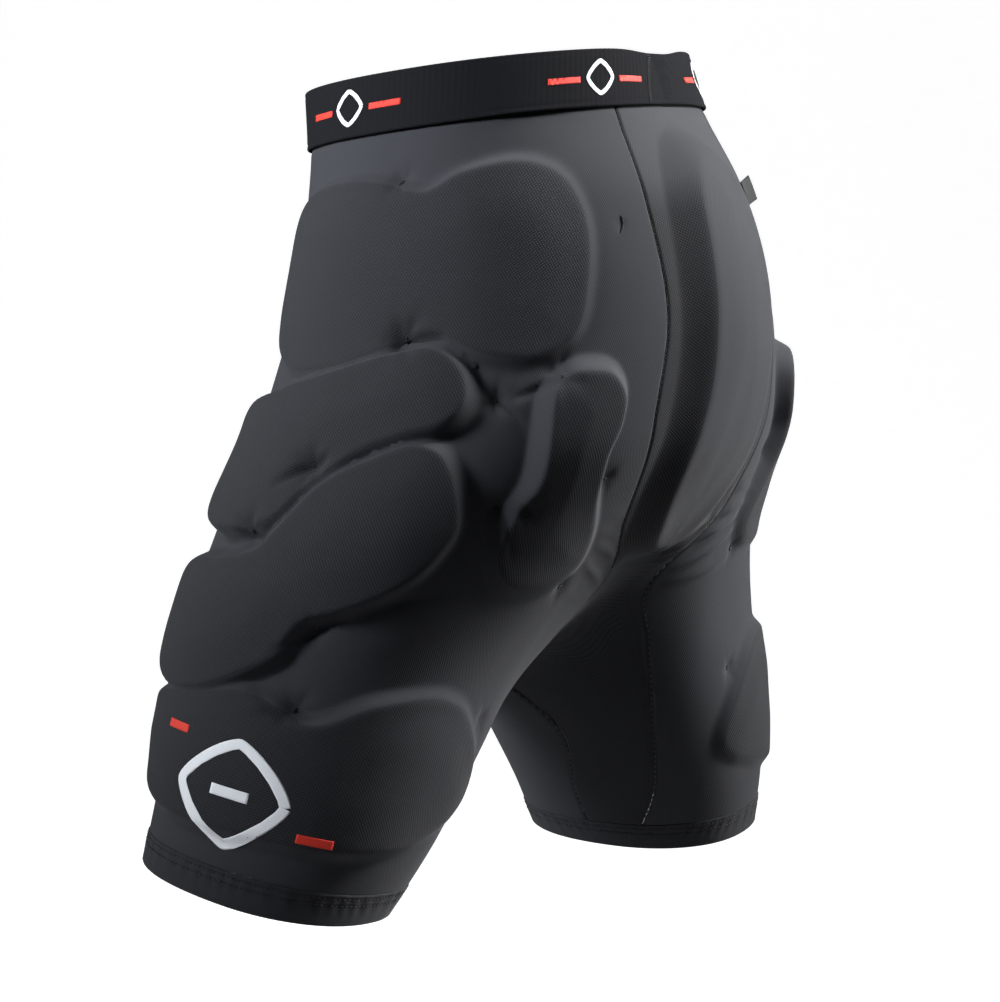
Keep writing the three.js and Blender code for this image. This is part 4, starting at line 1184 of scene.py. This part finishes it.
# %% [markdown]
# The long seams are topstitched in black down to the crotch, and in grey beside the gusset. Curve
# objects with a bevel could make the thread too, but hundreds of them would be slow to handle, so
# each row of stitches is one mesh.

# %% Seam stitches
def seam_place(side, back, lift):
    """A function that gives the points of one long seam at each drop."""
    def place(drop):
        row = body_row(drop)
        return on_leg(side, row["back_seam"] if back else -row["front_seam"], drop, lift)
    return place


for side_name, side in SIDES.items():
    paths = []
    for back, tip in ((True, BACK_TIP), (False, FRONT_TIP)):
        paths += stitches(seam_place(side, back, 0.35), BAND_HALF + 1, tip - 4, 2.5, 3.1)
    dress(thread_mesh(f"{side_name}_seam_stitches", paths, 0.34), black_thread, "leg_knit")
    paths = stitches(seam_place(side, True, 0.45), BACK_TIP + 3, HEM_DROP - 2, 1.9, 3.4)
    paths += stitches(seam_place(side, False, 0.45), FRONT_TIP + 3, HEM_DROP - 2, 1.9, 3.4)
    dress(thread_mesh(f"{side_name}_inner_stitches", paths, 0.30), grey_thread, "gusset_knit")
print("seam stitches made")

# %% [markdown]
# The hem has two rows that hold its turned edge. A tack is a small cross of thread that pulls the
# knit down to the lining. A texture could show them, but they catch the light as raised thread
# does, so they are tubes as well. One tack near the waist is a single curved stitch.

# %% Hem and tack stitches
RIGHT_ONLY_TACK = (147, 328)
CURVED_TACK = (133, 74)


def hem_place(side, level):
    """A function that gives the points of one row of hem stitches at each reach."""
    def place(reach):
        return on_ring(side, reach, level + 0 * reach, 0.0, hem_wave, HEM_OUTER)
    return place


for side_name, side in SIDES.items():
    paths = []
    for level in HEM_LINES:
        around = float(girth(level)[0])
        paths += stitches(hem_place(side, level), -around / 2, around / 2 - 3, 2.5, 3.1)
    dress(thread_mesh(f"{side_name}_hem_stitches", paths, 0.28), black_thread, "hem_knit")
    paths = []
    for n, (at, level, _, _) in enumerate(TACKS):
        no_thread = (at, level) == RIGHT_ONLY_TACK and side > 0
        if no_thread or (at, level) == CURVED_TACK:
            continue
        for turn in (0.35 + n, 1.9 + n):
            run = np.linspace(-1.7, 1.7, 5)
            paths.append(on_leg(side, at + run * np.cos(turn), level + run * np.sin(turn), 0.25))
    run = np.linspace(-4.2, 4.2, 9)
    paths.append(on_leg(side, CURVED_TACK[0] + 1.5 - 0.1 * run**2, CURVED_TACK[1] + run, 0.35))
    dress(thread_mesh(f"{side_name}_tack_threads", paths, 0.36), black_thread, "leg_knit")
print("hem and tack stitches made")

# %% [markdown]
# ## Waistband join and tab
# The elastic is one strip whose ends meet at the back of the left side, under a zigzag of thread.
# Cutting the ring there would leave two loose ends, so the join is the thread alone. A folded woven
# tab is caught in the right back seam. It is a small closed sheet that stands off the cloth.

# %% Join and tab
JOIN_REACH = 160.0


def band_place(side, reach, drop, lift):
    """Points a little over the outer face of the waistband."""
    return on_ring(side, reach, drop + top_sag(reach, drop), lift, band_wave, BAND_LIFT)


turns = 26
drop_line = np.linspace(-14.4, 14.4, 2 * turns + 1)
zigzag = JOIN_REACH + 1.1 * (-1.0) ** np.arange(2 * turns + 1)
join_paths = [band_place(1, zigzag, drop_line, 0.12)]
join_paths.append(band_place(1, JOIN_REACH + 0 * drop_line, drop_line, 0.02))
dress(thread_mesh("waistband_join_thread", join_paths, 0.22), black_thread, "waist_elastic")

TAB_DROP, TAB_HEIGHT, TAB_LENGTH = 62.0, 12.0, 16.0
tab_run = np.linspace(0, 1, 16)[None, :]
tab_drop = TAB_DROP + np.linspace(-0.5, 0.5, 13)[:, None] * TAB_HEIGHT + 0 * tab_run
tab_reach = body_row(tab_drop)["back_seam"] - 0.8 - TAB_LENGTH * 0.93 * tab_run
tab_points = on_leg(-1, tab_reach, tab_drop - 2.0 * tab_run, 0.9 + 5.2 * tab_run**1.4 + 0 * tab_drop)
tab_uv = np.stack([tab_reach, -tab_drop], -1)
tab = closed_sheet("seam_tab_weave", tab_points, 0.8, tab_uv, flip=True)
face_outward(tab)
dress(tab, tab_weave, "tab_weave", "seam_tab")
print("join threads:", len(join_paths), "tab vertices:", len(tab.data.vertices))

# %% [markdown]
# ## Marks
# Small plain prints sit on the waistband and low on each thigh: a diamond outline with short bars.
# They could be painted in the cloth's material, but a print is a thin film with its own gloss and
# edge. So each stroke is a thin closed strip that follows the relief of the cloth.

# %% Marks
BAND_MARKS = (-28.0, 119.0)
PRINT_THICK = 0.1
PRINT_LIFT = 0.25


def diamond(at, level, half_width, half_height, points=61):
    """A closed line round a diamond with soft corners."""
    turn = np.linspace(0, 2 * np.pi, points)
    wide, tall = np.cos(turn), np.sin(turn)
    return np.stack([at + half_width * np.sign(wide) * np.abs(wide) ** 1.5,
                     level + half_height * np.sign(tall) * np.abs(tall) ** 1.5], -1)


def bar_line(at, end, level, points=16):
    """A level line from one reach to another."""
    return np.stack([np.linspace(at, end, points), np.full(points, float(level))], -1)


def print_strip(name, place, side, path, width, material, slot_name):
    """A thin printed stroke along a line in the pattern, as one closed piece."""
    along = np.gradient(path, axis=0)
    along /= np.linalg.norm(along, axis=1, keepdims=True)
    across = np.stack([-along[:, 1], along[:, 0]], -1)
    share = np.linspace(-0.5, 0.5, 7)
    spot = path[:, None] + across[:, None] * (share * width)[None, :, None]
    outer = place(side, spot[..., 0], spot[..., 1], PRINT_LIFT)
    strip = closed_sheet(name, outer, PRINT_THICK, spot)
    face_outward(strip)
    return dress(strip, material, slot_name)


for side_name, side in SIDES.items():
    thigh = f"{side_name}_thigh_mark"
    band = f"{side_name}_band_mark"
    print_strip(f"{thigh}_white", on_leg, side, diamond(0, 381, 30, 26), 5.5, white_print, "leg_knit")
    print_strip(f"{thigh}_bar", on_leg, side, bar_line(-11, 11, 381), 5.5, white_print, "leg_knit")
    for n, bar in enumerate((bar_line(-50, -34, 356), bar_line(38, 56, 394))):
        print_strip(f"{thigh}_red_{n}", on_leg, side, bar, 4.5, red_print, "leg_knit")
    for n, at in enumerate(BAND_MARKS):
        outline = diamond(at, 0, 9, 9, 43)
        print_strip(f"{band}_white_{n}", band_place, side, outline, 2.4, white_print, "waist_elastic")
        for m, bar in enumerate((bar_line(at - 34, at - 14, 1), bar_line(at + 14, at + 34, 1))):
            print_strip(f"{band}_red_{n}_{m}", band_place, side, bar, 3.4, red_print, "waist_elastic")

# %% [markdown]
# ## Outsides
# A face has an outside, and light and export both use it. Each closed piece could be built the right
# way round by hand, but one pass over the cloth at the end is surer.

# %% Faces outward
for piece in bpy.data.objects:
    if piece.type == "MESH" and piece.name.endswith(("_cloth", "_elastic")):
        face_outward(piece)
print("cloth faces turned outward")

# %% [markdown]
# ## Stage and light
# A pale floor and wall, and wide soft lights: one on each side for the bright edges that the photo
# shows, one from above, and a weak one from the camera's side. A bare world light would be simpler,
# but it would wash out the low relief of the pads.

# %% Floor
FLOOR_Z = -0.56


def make_stage():
    """A floor that curves up into a wall, far behind the shorts."""
    mesh = bpy.data.meshes.new("studio_floor")
    radius, half, back = 1.2, 6.0, 2.6
    line = [(-half, FLOOR_Z)]
    for k in range(13):
        turn = math.radians(90 * k / 12)
        along = back - radius + radius * math.sin(turn)
        line.append((along, FLOOR_Z + radius - radius * math.cos(turn)))
    line.append((back, 5.0))
    points = [(x, y, z) for x in (-half, half) for y, z in line]
    n = len(line)
    mesh.from_pydata(points, [], [(i, i + 1, n + i + 1, n + i) for i in range(n - 1)])
    mesh.polygons.foreach_set("use_smooth", [True] * len(mesh.polygons))
    floor = bpy.data.objects.new("studio_floor", mesh)
    bpy.context.collection.objects.link(floor)
    floor.rotation_euler = (0, 0, math.atan2(-away.x, away.y) + math.pi)
    material = plain_material("studio_paper", (0.4, 0.4, 0.405), 0.9, 0.0)
    shader = material.node_tree.nodes["Principled BSDF"]
    shader.inputs["Emission Color"].default_value = (1.0, 1.0, 1.0, 1.0)
    seen = material.node_tree.nodes.new("ShaderNodeLightPath")
    glow = material.node_tree.nodes.new("ShaderNodeMath")
    glow.operation = "MULTIPLY"
    glow.inputs[1].default_value = 0.95
    material.node_tree.links.new(seen.outputs["Is Camera Ray"], glow.inputs[0])
    material.node_tree.links.new(glow.outputs[0], shader.inputs["Emission Strength"])
    floor.data.materials.append(material)
    return floor


floor = make_stage()
print("floor at z", FLOOR_Z)

# %% [markdown]
# Each light is a rectangle placed by the camera's own right, up and near, so the bright edges stay
# where the photo has them. A narrow beam keeps the two keys off the floor. The world is white where
# the camera sees it and nearly dark as a light, because the photo's ground is white.

# %% Lights
side_way = Vector((math.cos(CAMERA_AZIMUTH), math.sin(CAMERA_AZIMUTH), 0.0))


def soft_light(name, right, up, near, power, size_x, size_y, aim=-0.2, beam=180.0, color=(1, 1, 1)):
    """A soft box at a place given from the camera's side, aimed at a height above the middle."""
    data = bpy.data.lights.new(name, "AREA")
    data.shape = "RECTANGLE"
    data.size, data.size_y, data.energy = size_x, size_y, power
    data.spread = math.radians(beam)
    data.color = color
    light = bpy.data.objects.new(name, data)
    bpy.context.collection.objects.link(light)
    flat_away = Vector((away.x, away.y, 0)).normalized()
    light.location = Vector((0.0, 0.0, -0.2)) + side_way * right + Vector((0, 0, up)) + flat_away * near
    toward = light.location - Vector((0.0, 0.0, aim))
    light.rotation_euler = toward.to_track_quat("Z", "Y").to_euler()


soft_light("left_key", -1.7, 1.1, 0.9, 5.8, 0.6, 0.7, aim=0.11, beam=33.0, color=(0.90, 0.95, 1.0))
soft_light("left_rim", -1.6, 0.5, -0.5, 9.0, 0.5, 1.4)
soft_light("right_key", 1.6, 1.3, -0.3, 9.5, 0.7, 0.8, aim=0.05, beam=37.0)
soft_light("right_rim", 1.4, -0.1, -0.8, 13.0, 0.5, 1.1)
soft_light("top_box", 0.3, 1.7, 0.3, 3.0, 1.0, 1.0)
soft_light("front_fill", -0.4, 0.6, 2.6, 0.3, 1.6, 1.6)
world = bpy.data.worlds.new("studio")
bpy.context.scene.world = world
world.use_nodes = True
world.node_tree.nodes["Background"].inputs["Color"].default_value = (1.0, 1.0, 1.0, 1.0)
seen = world.node_tree.nodes.new("ShaderNodeLightPath")
fill = world.node_tree.nodes.new("ShaderNodeMath")
fill.operation = "MULTIPLY_ADD"
fill.inputs[1].default_value = 0.97
fill.inputs[2].default_value = 0.03
world.node_tree.links.new(seen.outputs["Is Camera Ray"], fill.inputs[0])
world.node_tree.links.new(fill.outputs[0], world.node_tree.nodes["Background"].inputs["Strength"])
bpy.context.scene.view_settings.view_transform = "Standard"
